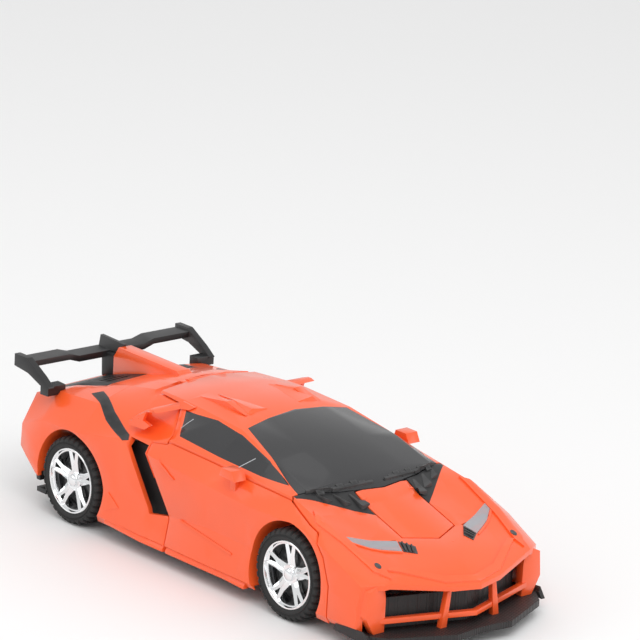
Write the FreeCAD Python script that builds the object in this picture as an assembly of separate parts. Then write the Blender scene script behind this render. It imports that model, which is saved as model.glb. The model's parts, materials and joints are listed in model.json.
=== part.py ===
import FreeCAD, Part
import math
import os
from FreeCAD import Vector as V

# Transforming robot car, in millimetres. Car mode is the rest pose.
# -Y is the nose, +Z is up, +X is the car's left. The origin is under the middle of the car, on the ground.

# ---- overall sizes
NOSE_Y = -118.0           # front of the splitter
TAIL_Y = 118.0            # rear of the wing
HALF_WIDTH = 47.5         # side of the body at the wheel arches
GROUND_GAP = 5.0          # underside of the chassis
WALL = 2.0                # body shell
SEAM = 0.6                # gap between neighbouring shells
FIT = 0.05                # radial clearance of a running fit
CLEAR = 0.4               # gap between pieces that move apart

# ---- wheels
TYRE_R = 18.0
TYRE_W = 14.0
RIM_R = 13.5
WHEEL_OUT = 46.5          # outer face of every tyre
FRONT_AXLE_Y = -56.0
REAR_AXLE_Y = 76.0
ARCH_GAP = 3.0            # tyre to wheel arch
AXLE_R = 2.0
ARCH_R = TYRE_R + ARCH_GAP
WHEEL_IN = WHEEL_OUT - TYRE_W

# ---- figure (torso and legs), drawn standing and then folded down
HINGE_Y = 10.0
HINGE_Z = 46.0
BRACKET_Y = -88.0         # pin that carries the bonnet
BRACKET_Z = 14.0
PIN_R = 1.5
HIP_HALF = 28.8
CHEST_HALF = 26.5
FOOT_R = 15.5
SHIN_IN = 15.0
SHIN_OUT = 29.5

# ---- seams of the body shell, side view (y, z)
DOOR_TOP_FRONT = (-50.0, 47.5)
DOOR_TOP_REAR = (22.0, 53.0)
SHOULDER = ((-49.5, 39.6), (-30.0, 41.0), (-6.0, 41.4), (21.5, 41.4))    # (y, x) inner edge of the door top
PILLAR_FOOT = (31.5, 46.8)     # rear top corner of the door
SILL_SPLIT_Y = 14.5
ROOF_REAR_Y = 47.5
WINDOW_TOP = (31.5, 59.3)

# ---- roof hinge
ROOF_HINGE_Y = 49.2
ROOF_HINGE_Z = 60.5
ROOF_KNUCKLE_R = 1.4
ROOF_SWEEP_R = 2.6        # rear edge of the roof about its hinge

# ---- arms
BAR_T = 3.0
BAR_Y = {-1: -60.0, 1: -54.5}    # right arm's bars, left arm's bars
BAR_Z = (28.5, 33.5)      # lower and upper bar
HOUSING_IN = 28.6         # inner wall of a front wheel housing
HOUSING_WALL = 1.2

# ---- head and flap, both carried by the bonnet
NECK_PLATE = 1.8          # each of the three sliding plates behind the head
NECK_Z = (16.5, 36.5)
FLAP_HALF = 13.5
FLAP_REAR_Y = -57.6
FLAP_TIP_Y = -90.0

# ---- gears
MODULE = 0.7
PRESSURE_ANGLE = 25.0
PINION_TEETH = 10
WHEEL_TEETH = 30
BACKLASH = 0.14
GEAR_W = 3.0

LINK = math.hypot(HINGE_Y - BRACKET_Y, HINGE_Z - BRACKET_Z)
DROOP = math.degrees(math.atan2(HINGE_Z - BRACKET_Z, HINGE_Y - BRACKET_Y))
FOLD = 90.0 + DROOP


# ---- small builders
def box(x0, x1, y0, y1, z0, z1):
    return Part.makeBox(x1 - x0, y1 - y0, z1 - z0, V(x0, y0, z0))


def rod_x(y, z, r, x0, x1):
    return Part.makeCylinder(r, x1 - x0, V(x0, y, z), V(1, 0, 0))


def ring_x(y, z, r_out, r_in, x0, x1):
    return rod_x(y, z, r_out, x0, x1).cut(rod_x(y, z, r_in, x0 - 1, x1 + 1))


def rod_z(x, y, r, z0, z1):
    return Part.makeCylinder(r, z1 - z0, V(x, y, z0))


def face(points):
    return Part.Face(Part.makePolygon(points + [points[0]]))


def prism_yz(points, x0, x1, grow=0.0):
    outline = face([V(x0, y, z) for y, z in points])
    if grow:
        outline = outline.makeOffset2D(grow)
    return outline.extrude(V(x1 - x0, 0, 0))


def prism_xy(points, z0, z1, grow=0.0):
    outline = face([V(x, y, z0) for x, y in points])
    if grow:
        outline = outline.makeOffset2D(grow)
    return outline.extrude(V(0, 0, z1 - z0))


def prism_xz(points, y0, y1):
    return face([V(x, y0, z) for x, z in points]).extrude(V(0, y1 - y0, 0))


def mirrored(shape):
    return shape.mirror(V(0, 0, 0), V(1, 0, 0))


def both(shape):
    return [shape, mirrored(shape)]


def fuse(*shapes):
    flat = []
    for shape in shapes:
        flat.extend(shape if isinstance(shape, list) else [shape])
    return flat[0].fuse(flat[1:]).removeSplitter()


def cut(shape, *tools):
    flat = []
    for tool in tools:
        flat.extend(tool if isinstance(tool, list) else [tool])
    return shape.cut(flat)


def fold_down(shape):
    """Turn a piece drawn on the standing figure about the hinge into its folded place."""
    folded = shape.copy()
    folded.rotate(V(0, HINGE_Y, HINGE_Z), V(1, 0, 0), FOLD)
    return folded


# ---- body shell: half sections from sill to centre line, (x, z)
SECTIONS = {
    -118: [(42, 7), (44, 9), (44, 13), (42, 16.5), (34, 18.5), (22, 20), (10, 21), (0, 21.5)],
    -100: [(44, 7), (46, 9), (46, 16), (45, 24), (37, 28), (25, 29), (12, 30), (0, 31)],
    -80: [(45, 6), (47, 9), (47, 20), (46, 33), (39.5, 36.5), (27, 35.5), (13, 36.5), (0, 37.5)],
    -64: [(45, 6), (47.5, 9), (47.5, 22), (46, 38.5), (40, 42.5), (28, 41), (14, 41.5), (0, 42.5)],
    -50: [(45, 6), (47.5, 9), (47, 22), (46, 39), (38.5, 45.5), (32, 47), (16, 48.5), (0, 49.5)],
    -30: [(45, 6), (47.5, 9), (45, 22), (46, 38.5), (40, 47.5), (31, 53.5), (16, 56), (0, 57)],
    -6: [(45, 6), (47.5, 9), (44, 22), (46, 40), (40.5, 49), (28, 59), (14, 61.3), (0, 62.2)],
    20: [(45, 6), (47, 9), (44, 20), (46, 41.5), (40.2, 50), (27, 60.5), (14, 62.3), (0, 63)],
    31: [(45, 6), (47, 9), (44.5, 20), (46, 42.5), (40.8, 46.5), (26, 60.6), (14, 62.2), (0, 62.8)],
    48: [(45, 6), (47, 9), (45, 20), (46, 43.5), (40.2, 46.5), (24, 60), (12, 61.5), (0, 62.2)],
    70: [(45, 6), (47, 9), (47.5, 20), (47.3, 40), (38, 51), (22, 55.5), (9, 57), (0, 57.5)],
    96: [(45, 6), (46, 9), (46.5, 20), (45.5, 38), (37, 49), (22, 50.5), (9, 50.5), (0, 51)],
    112: [(42, 6), (43, 9), (43.5, 20), (43, 32), (36, 44), (22, 45), (9, 45.5), (0, 46)],
}
SECTION_HALF_WIDTH = 47.5
OPEN_BELOW = 12.0


def widen(points):
    scale = HALF_WIDTH / SECTION_HALF_WIDTH
    return [(x * scale, z) for x, z in points]


def inset(points, wall):
    """Offset a half section inwards; the sill end drops through the open underside."""
    walk = points + [(-points[-2][0], points[-2][1])]
    result = []
    for i in range(1, len(points)):
        before, here, after = walk[i - 1], walk[i], walk[i + 1]
        normals = []
        for a, b in ((before, here), (here, after)):
            run = math.hypot(b[0] - a[0], b[1] - a[1])
            normals.append(((b[1] - a[1]) / run, (a[0] - b[0]) / run))
        sx = normals[0][0] + normals[1][0]
        sz = normals[0][1] + normals[1][1]
        reach = 2.0 * wall / (sx * sx + sz * sz)
        result.append((here[0] - sx * reach, here[1] - sz * reach))
    return [(result[0][0], points[0][1] - OPEN_BELOW)] + result


def skin_height(y, x):
    """Height of the outside of the body above a plan position in front of the doors."""
    stations = sorted(SECTIONS)
    rear = next(station for station in stations if station >= y)
    front = stations[max(stations.index(rear) - 1, 0)]
    share = (y - front) / (rear - front) if rear > front else 0.0
    blend = [(a[0] + (b[0] - a[0]) * share, a[1] + (b[1] - a[1]) * share)
             for a, b in zip(widen(SECTIONS[front]), widen(SECTIONS[rear]))]
    for low, high in zip(blend[3:], blend[4:]):
        if high[0] <= x <= low[0]:
            return low[1] + (high[1] - low[1]) * (low[0] - x) / (low[0] - high[0])
    return blend[3][1]


def section_wire(y, half):
    loop = half + [(-x, z) for x, z in reversed(half[:-1])]
    return Part.makePolygon([V(x, y, z) for x, z in loop + [loop[0]]])


def body_shell():
    stations = sorted(SECTIONS)
    outer = [section_wire(y, widen(SECTIONS[y])) for y in stations]
    inner = [section_wire(y, inset(widen(SECTIONS[y]), WALL)) for y in stations]
    return Part.makeLoft(outer, True, True).cut(Part.makeLoft(inner, True, True))


ARM_SIDE = [DOOR_TOP_FRONT, (-64.5, 43.2), (-76.0, 31.0), (-80.5, 21.0), (-80.5, -8.0),
            (SILL_SPLIT_Y, -8.0), (SILL_SPLIT_Y, 8.0), (15.5, 19.0), PILLAR_FOOT, DOOR_TOP_REAR]
ARM_PLAN = [(41.8, 40.0), (41.8, 22.0)] + [(x, y) for y, x in reversed(SHOULDER)]
ARM_PLAN += [(43.4, -64.5), (43.4, -90.0), (70.0, -90.0), (70.0, 40.0)]
ROOF_SIDE = [(-62.0, 38.0), (22.0, 38.0), (22.0, 50.3), WINDOW_TOP, (ROOF_REAR_Y, WINDOW_TOP[1]),
             (ROOF_REAR_Y, 78.0), (-62.0, 78.0)]
ROOF_EDGE = [(x - SEAM, y) for y, x in SHOULDER] + [(SHOULDER[-1][1] - SEAM, 60.0)]
ROOF_PLAN = [(0, -57.5), (20, -54), (SHOULDER[0][1] - SEAM - 0.8, -48.0)] + ROOF_EDGE
ROOF_PLAN += [(-x, y) for x, y in reversed(ROOF_PLAN[1:])]
NOSE_PLAN = [(-60, -70), (-60, -86), (-46.5, -96), (-38, -102), (-12, -112), (0, -114.5), (12, -112),
             (38, -102), (46.5, -96), (60, -86), (60, -70)]
FLAP_PLAN = [(-FLAP_HALF, FLAP_REAR_Y + 1.5), (-FLAP_HALF, FLAP_TIP_Y + 6), (0, FLAP_TIP_Y),
             (FLAP_HALF, FLAP_TIP_Y + 6), (FLAP_HALF, FLAP_REAR_Y + 1.5)]


def arm_region(grow=0.0):
    side = prism_yz(ARM_SIDE, 30, 70, grow)
    plan = prism_xy(ARM_PLAN, -20, 80, grow)
    return side.common(plan)


def roof_region(grow=0.0):
    return prism_yz(ROOF_SIDE, -60, 60, grow).common(prism_xy(ROOF_PLAN, 20, 90, grow))


def wheel_arch(axle_y, x0, x1, extra=0.0):
    return rod_x(axle_y, TYRE_R, ARCH_R + extra, x0, x1)


# ---- wheels
TREAD_DEPTH = 1.0
SPOKES = 5
RIM_LIP = 1.2
HUB_R = 4.0


def tyre(side, axle_y):
    x0, x1 = (WHEEL_IN, WHEEL_OUT)
    body = ring_x(axle_y, TYRE_R, TYRE_R, RIM_R, x0, x1)
    body = body.makeChamfer(TREAD_DEPTH, [e for e in body.Edges if e.BoundBox.ZLength > 2 * TYRE_R - 1])
    return body if side > 0 else mirrored(body)


def rim(side, axle_y, bore):
    x0, x1 = (WHEEL_IN, WHEEL_OUT)
    barrel = ring_x(axle_y, TYRE_R, RIM_R, RIM_R - RIM_LIP, x0 + 1, x1 - 0.5)
    hub = rod_x(axle_y, TYRE_R, HUB_R, x0 + 1, x1 - 3)
    web = rod_x(axle_y, TYRE_R, RIM_R - RIM_LIP / 2, x1 - 6, x1 - 3.5)
    pocket_far = RIM_R - 2.5
    for i in range(SPOKES):
        angle = 2 * math.pi * (i + 0.5) / SPOKES
        points = []
        for r, half in ((5.5, 0.16), (pocket_far, 0.42)):
            for sign in (-1, 1):
                a = angle + sign * half
                points.append(V(x1 - 7, axle_y + r * math.sin(a), TYRE_R + r * math.cos(a)))
        ordered = [points[0], points[1], points[3], points[2]]
        web = web.cut(face(ordered).extrude(V(5, 0, 0)))
    solid = cut(fuse(barrel, web, hub), rod_x(axle_y, TYRE_R, bore, x0 - 1, x1 - 4.5))
    return solid if side > 0 else mirrored(solid)


# ---- gears
def involute_gear(teeth, x0, x1, y, z, turn, bore=0.0):
    pitch_r = MODULE * teeth / 2
    base_r = pitch_r * math.cos(math.radians(PRESSURE_ANGLE))
    tip_r = pitch_r + 0.7 * MODULE
    root_r = pitch_r - 1.1 * MODULE
    half_pitch = (math.pi * MODULE / 2 - BACKLASH) / (2 * pitch_r)
    at_pitch = math.tan(math.acos(base_r / pitch_r)) - math.acos(base_r / pitch_r)
    flank = []
    steps = 5
    start_r = max(base_r, root_r)
    for i in range(steps):
        r = start_r + (tip_r - start_r) * i / (steps - 1)
        roll = math.acos(min(1.0, base_r / r))
        flank.append((r, half_pitch + at_pitch - (math.tan(roll) - roll)))
    outline = []
    for tooth in range(teeth):
        centre = turn + 2 * math.pi * tooth / teeth
        outline.append((root_r, centre - flank[0][1]))
        outline.extend((r, centre - a) for r, a in flank)
        outline.extend((r, centre + a) for r, a in reversed(flank))
        outline.append((root_r, centre + flank[0][1]))
    points = []
    for r, a in outline:
        point = V(x0, y + r * math.cos(a), z + r * math.sin(a))
        if not points or point.distanceToPoint(points[-1]) > 0.005:
            points.append(point)
    solid = face(points).extrude(V(x1 - x0, 0, 0))
    return solid.cut(rod_x(y, z, bore, x0 - 1, x1 + 1)) if bore else solid


PINION_R = MODULE * PINION_TEETH / 2
WHEEL_R = MODULE * WHEEL_TEETH / 2
CENTRES = PINION_R + WHEEL_R
TRAIN_RISE = 30.0
COMPOUND_Y = REAR_AXLE_Y - CENTRES * math.cos(math.radians(TRAIN_RISE))
COMPOUND_Z = TYRE_R + CENTRES * math.sin(math.radians(TRAIN_RISE))
TRAIN_DROP = -15.0
MOTOR_Y = COMPOUND_Y - CENTRES * math.cos(math.radians(TRAIN_DROP))
MOTOR_Z = COMPOUND_Z + CENTRES * math.sin(math.radians(TRAIN_DROP))
AXLE_GEAR_X = 17.0
COMPOUND_GEAR_X = 21.0
LIFT_ANGLE = -14.0
LIFT_Y = HINGE_Y + CENTRES * math.cos(math.radians(LIFT_ANGLE))
LIFT_Z = HINGE_Z + CENTRES * math.sin(math.radians(LIFT_ANGLE))
LIFT_MOTOR_Y = LIFT_Y + CENTRES
LIFT_MOTOR_Z = LIFT_Z
FIGURE_GEAR_X = -12.0
LIFT_GEAR_X = 6.0


def towards(y0, z0, y1, z1):
    return math.atan2(z1 - z0, y1 - y0)


def gap_turn(teeth, angle):
    return angle + math.pi / teeth


def axle_gear(side):
    """Gear and axle in one; a tooth points at the compound gear."""
    turn = towards(REAR_AXLE_Y, TYRE_R, COMPOUND_Y, COMPOUND_Z)
    gear = involute_gear(WHEEL_TEETH, AXLE_GEAR_X, AXLE_GEAR_X + GEAR_W, REAR_AXLE_Y, TYRE_R, turn)
    solid = fuse(gear, rod_x(REAR_AXLE_Y, TYRE_R, AXLE_R, AXLE_GEAR_X - 4, WHEEL_OUT - 4.5))
    return solid if side > 0 else mirrored(solid)


def compound_gear(side):
    """Small gear has a gap towards the axle; the large one has a tooth towards the motor."""
    down = towards(COMPOUND_Y, COMPOUND_Z, REAR_AXLE_Y, TYRE_R)
    back = towards(COMPOUND_Y, COMPOUND_Z, MOTOR_Y, MOTOR_Z)
    small = involute_gear(PINION_TEETH, AXLE_GEAR_X, COMPOUND_GEAR_X, COMPOUND_Y, COMPOUND_Z,
                          gap_turn(PINION_TEETH, down))
    large = involute_gear(WHEEL_TEETH, COMPOUND_GEAR_X, COMPOUND_GEAR_X + GEAR_W,
                          COMPOUND_Y, COMPOUND_Z, back)
    pin = rod_x(COMPOUND_Y, COMPOUND_Z, PIN_R, AXLE_GEAR_X - 4, COMPOUND_GEAR_X + GEAR_W + 4)
    solid = fuse(small, large, pin)
    return solid if side > 0 else mirrored(solid)


def motor_pinion(side):
    turn = gap_turn(PINION_TEETH, towards(MOTOR_Y, MOTOR_Z, COMPOUND_Y, COMPOUND_Z))
    gear = involute_gear(PINION_TEETH, COMPOUND_GEAR_X, COMPOUND_GEAR_X + GEAR_W, MOTOR_Y, MOTOR_Z, turn)
    solid = fuse(gear, rod_x(MOTOR_Y, MOTOR_Z, PIN_R, COMPOUND_GEAR_X - 1.5, COMPOUND_GEAR_X + GEAR_W))
    return solid if side > 0 else mirrored(solid)


MOTOR_LENGTH = 17.5
MOTOR_HALF_Y = 9.5
MOTOR_HALF_Z = 7.5


def motor_can(y, z, x0, x1):
    can = rod_x(y, z, MOTOR_HALF_Y, x0, x1)
    return can.common(box(x0, x1, y - MOTOR_HALF_Y, y + MOTOR_HALF_Y, z - MOTOR_HALF_Z, z + MOTOR_HALF_Z))


def drive_motors():
    x1 = COMPOUND_GEAR_X - 2.0
    can = motor_can(MOTOR_Y, MOTOR_Z, x1 - MOTOR_LENGTH, x1)
    can = can.cut(rod_x(MOTOR_Y, MOTOR_Z, PIN_R + FIT, x1 - 3, x1 + 1))
    return Part.makeCompound(both(can))


def gearbox_plates():
    """Four upright plates, two each side, with bores for the axle and the compound gear's pin."""
    front = MOTOR_Y + MOTOR_HALF_Y + CLEAR
    outline = [(REAR_AXLE_Y + 8, TRAY_TOP), (REAR_AXLE_Y + 8, 26), (COMPOUND_Y + 3, 37), (front, 37),
               (front, TRAY_TOP)]
    plates = []
    for x0 in (AXLE_GEAR_X - 3.5, COMPOUND_GEAR_X + GEAR_W + 1.0):
        plate = prism_yz(outline, x0, x0 + 2.0)
        plate = cut(plate, rod_x(REAR_AXLE_Y, TYRE_R, AXLE_R + FIT, x0 - 1, x0 + 3),
                    rod_x(COMPOUND_Y, COMPOUND_Z, PIN_R + FIT, x0 - 1, x0 + 3))
        plates.extend(both(plate))
    return Part.makeCompound(plates)


def figure_gear():
    """Drawn in its folded place, with a tooth towards the transform gear."""
    turn = towards(HINGE_Y, HINGE_Z, LIFT_Y, LIFT_Z)
    return involute_gear(WHEEL_TEETH, FIGURE_GEAR_X, FIGURE_GEAR_X + GEAR_W, HINGE_Y, HINGE_Z, turn, PIN_R)


def lift_gear():
    to_figure = towards(LIFT_Y, LIFT_Z, HINGE_Y, HINGE_Z)
    small = involute_gear(PINION_TEETH, FIGURE_GEAR_X, FIGURE_GEAR_X + GEAR_W, LIFT_Y, LIFT_Z,
                          gap_turn(PINION_TEETH, to_figure))
    large = involute_gear(WHEEL_TEETH, LIFT_GEAR_X, LIFT_GEAR_X + GEAR_W, LIFT_Y, LIFT_Z, 0.0)
    shaft = rod_x(LIFT_Y, LIFT_Z, PIN_R, FIGURE_GEAR_X - 3, LIFT_GEAR_X + GEAR_W + 3)
    return fuse(small, large, shaft)


def lift_motor_pinion():
    gear = involute_gear(PINION_TEETH, LIFT_GEAR_X, LIFT_GEAR_X + GEAR_W, LIFT_MOTOR_Y, LIFT_MOTOR_Z,
                         gap_turn(PINION_TEETH, math.pi))
    return fuse(gear, rod_x(LIFT_MOTOR_Y, LIFT_MOTOR_Z, PIN_R, LIFT_GEAR_X - 2.5, LIFT_GEAR_X + GEAR_W))


def lift_motor():
    x1 = LIFT_GEAR_X - 1.0
    can = motor_can(LIFT_MOTOR_Y, LIFT_MOTOR_Z, x1 - MOTOR_LENGTH, x1)
    return can.cut(rod_x(LIFT_MOTOR_Y, LIFT_MOTOR_Z, PIN_R + FIT, x1 - 3, x1 + 1))


# ---- chassis and what it holds
TRAY_HALF = 40.5
TRAY_FRONT = -8.0
TRAY_REAR = 104.0
TRAY_T = 2.0
TRAY_TOP = GROUND_GAP + TRAY_T
CHEEK_IN = 32.0
CHEEK_OUT = 41.2
CELL_R = 7.25
CELL_LENGTH = 50.5
CELL_PITCH = 14.7
CELL_Y = (3.5, 3.5 + CELL_PITCH, 3.5 + 2 * CELL_PITCH)
BATTERY_DOOR_Z = 1.6
SWITCH_Y = 50.0
SWITCH_HALF_Y = 1.9        # the nub that a finger pushes
SWITCH_PLATE_HALF_Y = 3.5
ROLLER_Y = -4.8
ROLLER_R = 3.0
ROLLER_LIFT = 1.0
ROLLER_Z = ROLLER_R + ROLLER_LIFT
ROLLER_PIN_R = 0.7
ROLLER_X = (27.0, 29.4)
ROLLER_EAR = (29.9, 31.7)
SCREW_R = 1.0
SCREW_SPOTS = ((34.0, 14.0), (34.0, 46.0), (26.0, 100.0))


def base_screws():
    screws = []
    for x, y in SCREW_SPOTS:
        head = rod_z(x, y, 2 * SCREW_R, GROUND_GAP - 0.8, GROUND_GAP)
        screws.extend(both(fuse(head, rod_z(x, y, SCREW_R, GROUND_GAP - 0.4, TRAY_TOP + 4))))
    return Part.makeCompound(screws)


def battery_opening(gap):
    half = CELL_LENGTH / 2 + 1 - gap
    return box(-half, half, CELL_Y[0] - CELL_R + gap - 0.5, CELL_Y[2] + CELL_R - gap + 0.5, 0, 20)


def chassis():
    floor = box(-TRAY_HALF, TRAY_HALF, TRAY_FRONT, TRAY_REAR, GROUND_GAP, TRAY_TOP)
    arches = both(box(WHEEL_IN - 2, 60, REAR_AXLE_Y - ARCH_R - 1, REAR_AXLE_Y + ARCH_R + 1, -5, 60))
    roller_slots = both(box(ROLLER_X[0] - 0.4, ROLLER_EAR[1] + 0.2, ROLLER_Y - ROLLER_R - 0.6,
                            ROLLER_Y + ROLLER_R + 0.6, 0, 20))
    switch_slot = box(-4, 4, SWITCH_Y - 2.3, SWITCH_Y + 2.3, 0, 20)
    screws = [s for x, y in SCREW_SPOTS for s in both(rod_z(x, y, SCREW_R, 0, 20))]
    floor = cut(floor, arches, battery_opening(0), roller_slots, switch_slot, screws)
    wall_x = CELL_LENGTH / 2 + 1
    walls = both(box(wall_x, wall_x + 1.5, CELL_Y[0], CELL_Y[2] + CELL_R, TRAY_TOP - 0.5, SHELF_Z))
    bosses = []
    for x, y in SCREW_SPOTS:
        bosses.extend(both(rod_z(x, y, 2.4, TRAY_TOP - 0.5, TRAY_TOP + 4).cut(rod_z(x, y, SCREW_R, 0, 20))))
    return fuse(floor, walls, bosses)


def battery_door():
    plate = battery_opening(0.3).common(box(-50, 50, -50, 90, GROUND_GAP, GROUND_GAP + BATTERY_DOOR_Z))
    grips = [box(-8, 8, y, y + 1.0, GROUND_GAP - 1, GROUND_GAP + 0.5) for y in (10.0, 13.0, 16.0)]
    return cut(plate, grips)


def battery_cells():
    cells = []
    for i, y in enumerate(CELL_Y):
        z = TRAY_TOP + CELL_R
        can = rod_x(y, z, CELL_R, -CELL_LENGTH / 2, CELL_LENGTH / 2 - 1)
        tip = rod_x(y, z, 2.6, CELL_LENGTH / 2 - 1, CELL_LENGTH / 2)
        cell = fuse(can, tip)
        cells.append(mirrored(cell) if i % 2 else cell)
    return Part.makeCompound(cells)


PANEL_SKIN = [(-8.0, 7.0), (-8.0, 23.5), (-5.5, 25.0), (2.0, 27.3), (12.0, 28.6), (20.0, 28.6),
              (20.0, 26.8), (12.0, 26.8), (2.0, 25.3), (-4.8, 23.2), (-6.2, 22.0), (-6.2, 7.0)]


def front_panel():
    """Sloped front cover of the base over the battery box, with ears for the roller's pin."""
    skin = prism_yz(PANEL_SKIN, -CHEEK_IN + 0.2, CHEEK_IN - 0.2)
    ribs = [box(-12, 12, -8.8, -7.5, z, z + 1.2) for z in (16.0, 18.4)]
    ledge = box(-CHEEK_IN + 0.2, CHEEK_IN - 0.2, -9.2, -7.5, 19.8, 21.2)
    ears = []
    for ear in both(box(*ROLLER_EAR, ROLLER_Y - 3, ROLLER_Y + 3, ROLLER_Z - 2.0, 12)):
        ears.append(ear.cut(rod_x(ROLLER_Y, ROLLER_Z, ROLLER_PIN_R + FIT, -40, 40)))
    bridge = both(box(*ROLLER_EAR, TRAY_FRONT, ROLLER_Y + 3, TRAY_TOP + 0.5, 12))
    return fuse(skin, ribs, ledge, ears, bridge)


def side_cheeks():
    """Black inner sides of the base; each carries one end of the cross shaft and backs the side intake."""
    front = prism_xz([(CHEEK_IN, 7.0), (CHEEK_OUT, 7.0), (CHEEK_OUT, 38.0), (36.4, 44.6), (CHEEK_IN, 44.6)],
                     TRAY_FRONT, 14.0)
    rear = box(36.4, 38.4, 13.0, 51.0, TRAY_TOP, 42.0)
    cheek = cut(fuse(front, rear), rod_x(HINGE_Y, HINGE_Z, PIN_R + FIT, CHEEK_IN - 1, CHEEK_IN + 5))
    collar = ring_x(HINGE_Y, HINGE_Z, 3.4, PIN_R + FIT, CHEEK_IN, 36.4)
    cheek = cut(fuse(cut(cheek, rod_x(HINGE_Y, HINGE_Z, 3.2, CHEEK_IN - 1, 36.4)), collar),
                rod_z(34.0, 14.0, 2.4, 0, 11.0))
    return Part.makeCompound(both(cheek))


POST_FRONT_Y = 15.0
SHELF_Y = (24.0, 39.0)
SHELF_Z = 25.0           # the cradle stands on the battery box walls


def lift_cradle():
    """Holds the transform motor and both ends of the transform gear's shaft."""
    outline = [(POST_FRONT_Y, 28.8), (POST_FRONT_Y, 44.0), (LIFT_Y - 3, LIFT_Z + 4), (46.0, 50.0),
               (46.0, 30.0), (SHELF_Y[1], 30.0), (SHELF_Y[1], SHELF_Z), (SHELF_Y[0], SHELF_Z),
               (SHELF_Y[0], 28.8)]
    posts = []
    for x0 in (FIGURE_GEAR_X - 2.2, LIFT_GEAR_X + GEAR_W + 0.6):
        posts.append(prism_yz(outline, x0, x0 + 1.7).cut(rod_x(LIFT_Y, LIFT_Z, PIN_R + FIT, -30, 30)))
    shelf_half = CELL_LENGTH / 2 + 2.5
    shelf = box(-shelf_half, shelf_half, SHELF_Y[0], SHELF_Y[1], SHELF_Z, SHELF_Z + 2)
    top = LIFT_MOTOR_Z - MOTOR_HALF_Z
    saddle = box(LIFT_GEAR_X - 1.0 - MOTOR_LENGTH, LIFT_GEAR_X - 1.5, 32.0, SHELF_Y[1], SHELF_Z + 1, top)
    return fuse(posts, shelf, saddle)


def circuit_board():
    board = box(-20, 20, 62, 98, 37.0, 38.6)
    chips = [box(-12, -2, 76, 86, 38.4, 40.5),
             box(4, 12, 84, 92, 38.4, 41.5),
             box(6, 14, 66, 74, 38.4, 40.0)]
    return fuse(board, chips)


def power_switch():
    nub = box(-2.0, 1.0, SWITCH_Y - SWITCH_HALF_Y, SWITCH_Y + SWITCH_HALF_Y, GROUND_GAP - 1.2, TRAY_TOP + 0.5)
    plate = box(-6.0, 2.8, SWITCH_Y - SWITCH_PLATE_HALF_Y, SWITCH_Y + SWITCH_PLATE_HALF_Y,
                TRAY_TOP + 0.1, TRAY_TOP + 1.6)
    return fuse(nub, plate)


def front_roller():
    shaft = rod_x(ROLLER_Y, ROLLER_Z, ROLLER_PIN_R, -ROLLER_EAR[1], ROLLER_EAR[1])
    return fuse(shaft, both(rod_x(ROLLER_Y, ROLLER_Z, ROLLER_R, *ROLLER_X)))


HOSE_R = 1.7
HOSE_TOPS = (-9.0, 9.0)
HOSE_LEAN = -6.0


def hose_points(x):
    return V(x, -7.5, 21.9), V(x + HOSE_LEAN * 0.35, -13.2, 21.4), V(x + HOSE_LEAN, -11.4, 9.0)


def front_hoses():
    panel = front_panel()
    hoses = []
    for x in HOSE_TOPS:
        start, bend, end = hose_points(x)
        upper = Part.makeCylinder(HOSE_R, (bend - start).Length, start + V(0, -1.8, 0), bend - start)
        lower = Part.makeCylinder(HOSE_R, (end - bend).Length, bend + V(0, -1.8, 0), end - bend)
        hose = fuse(upper, lower, Part.makeSphere(HOSE_R, bend + V(0, -1.8, 0)))
        hoses.append(hose.cut(panel))
    return hoses


LAMP_X = 15.5
LAMP_Z = 15.0
LAMP_R = 6.0
STUD_X = (-25.0, 25.0)
STUD_Z = 16.4
STUD_HALF = 2.4


def square_ring(x, y, z, half):
    corners = [(-half, -half), (half, -half), (half, half), (-half, half), (-half, -half)]
    return Part.makePolygon([V(x + dx, y, z + dz) for dx, dz in corners])


def front_lamp():
    disc = Part.makeCylinder(LAMP_R, 2.0, V(LAMP_X, -8.0, LAMP_Z), V(0, -1, 0))
    return disc.common(box(0, 40, -20, 0, 0, LAMP_Z))


def front_trim():
    """Ribbed hoses, the rim under the lamp and two small pyramid studs."""
    rim_ring = Part.makeCylinder(LAMP_R + 1.4, 1.2, V(LAMP_X, -8.0, LAMP_Z), V(0, -1, 0))
    rim_ring = rim_ring.cut(Part.makeCylinder(LAMP_R + 0.05, 9.0, V(LAMP_X, -4.0, LAMP_Z), V(0, -1, 0)))
    rim_ring = rim_ring.common(box(0, 40, -20, -8, 0, LAMP_Z - 2))
    solids = [rim_ring] + front_hoses()
    for x in STUD_X:
        rings = [square_ring(x, TRAY_FRONT, STUD_Z, STUD_HALF), square_ring(x, TRAY_FRONT - 2.2, STUD_Z, 0.3)]
        solids.append(Part.makeLoft(rings, True, True))
    return Part.makeCompound(solids)


def underglow_lamps():
    dome = Part.makeSphere(2.6, V(16, 47, GROUND_GAP)).common(box(0, 40, 0, 90, 0, GROUND_GAP))
    return Part.makeCompound(both(dome))


TAIL_PANEL = [(-39, 9), (39, 9), (40.5, 20), (39.5, 32), (33, 41.5), (-33, 41.5), (-39.5, 32), (-40.5, 20)]


def tail_panel():
    panel = prism_xz(TAIL_PANEL, TRAY_REAR, TRAY_REAR + 2.5)
    fins = [box(x - 0.8, x + 0.8, TRAY_REAR + 2, 114.0, 9.0, 15.0) for x in (-24, -12, 0, 12, 24)]
    return fuse(panel, fins, box(-30, 30, TRAY_REAR + 2, 112.0, 9.0, 10.2))


# ---- rear body
FIN_HALF = 3.2
FIN_SIDE = [(57.0, 56.5), (64.0, 60.2), (101.0, 60.6), (104.0, 56.0), (104.0, 46.0), (57.0, 50.0)]
DECK_PLAN = [(-24, 82), (24, 82), (31, 108.5), (-31, 108.5)]
INTAKE_SIDE = [(31.5, 44.8), (43.0, 45.2), (27.5, 18.0), (16.2, 20.0)]
TAIL_UNDERCUT = [(93.0, 2.0), (93.0, 13.5), (99.0, 15.0), (114.0, 24.0), (120.0, 24.0), (120.0, 2.0)]


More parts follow.
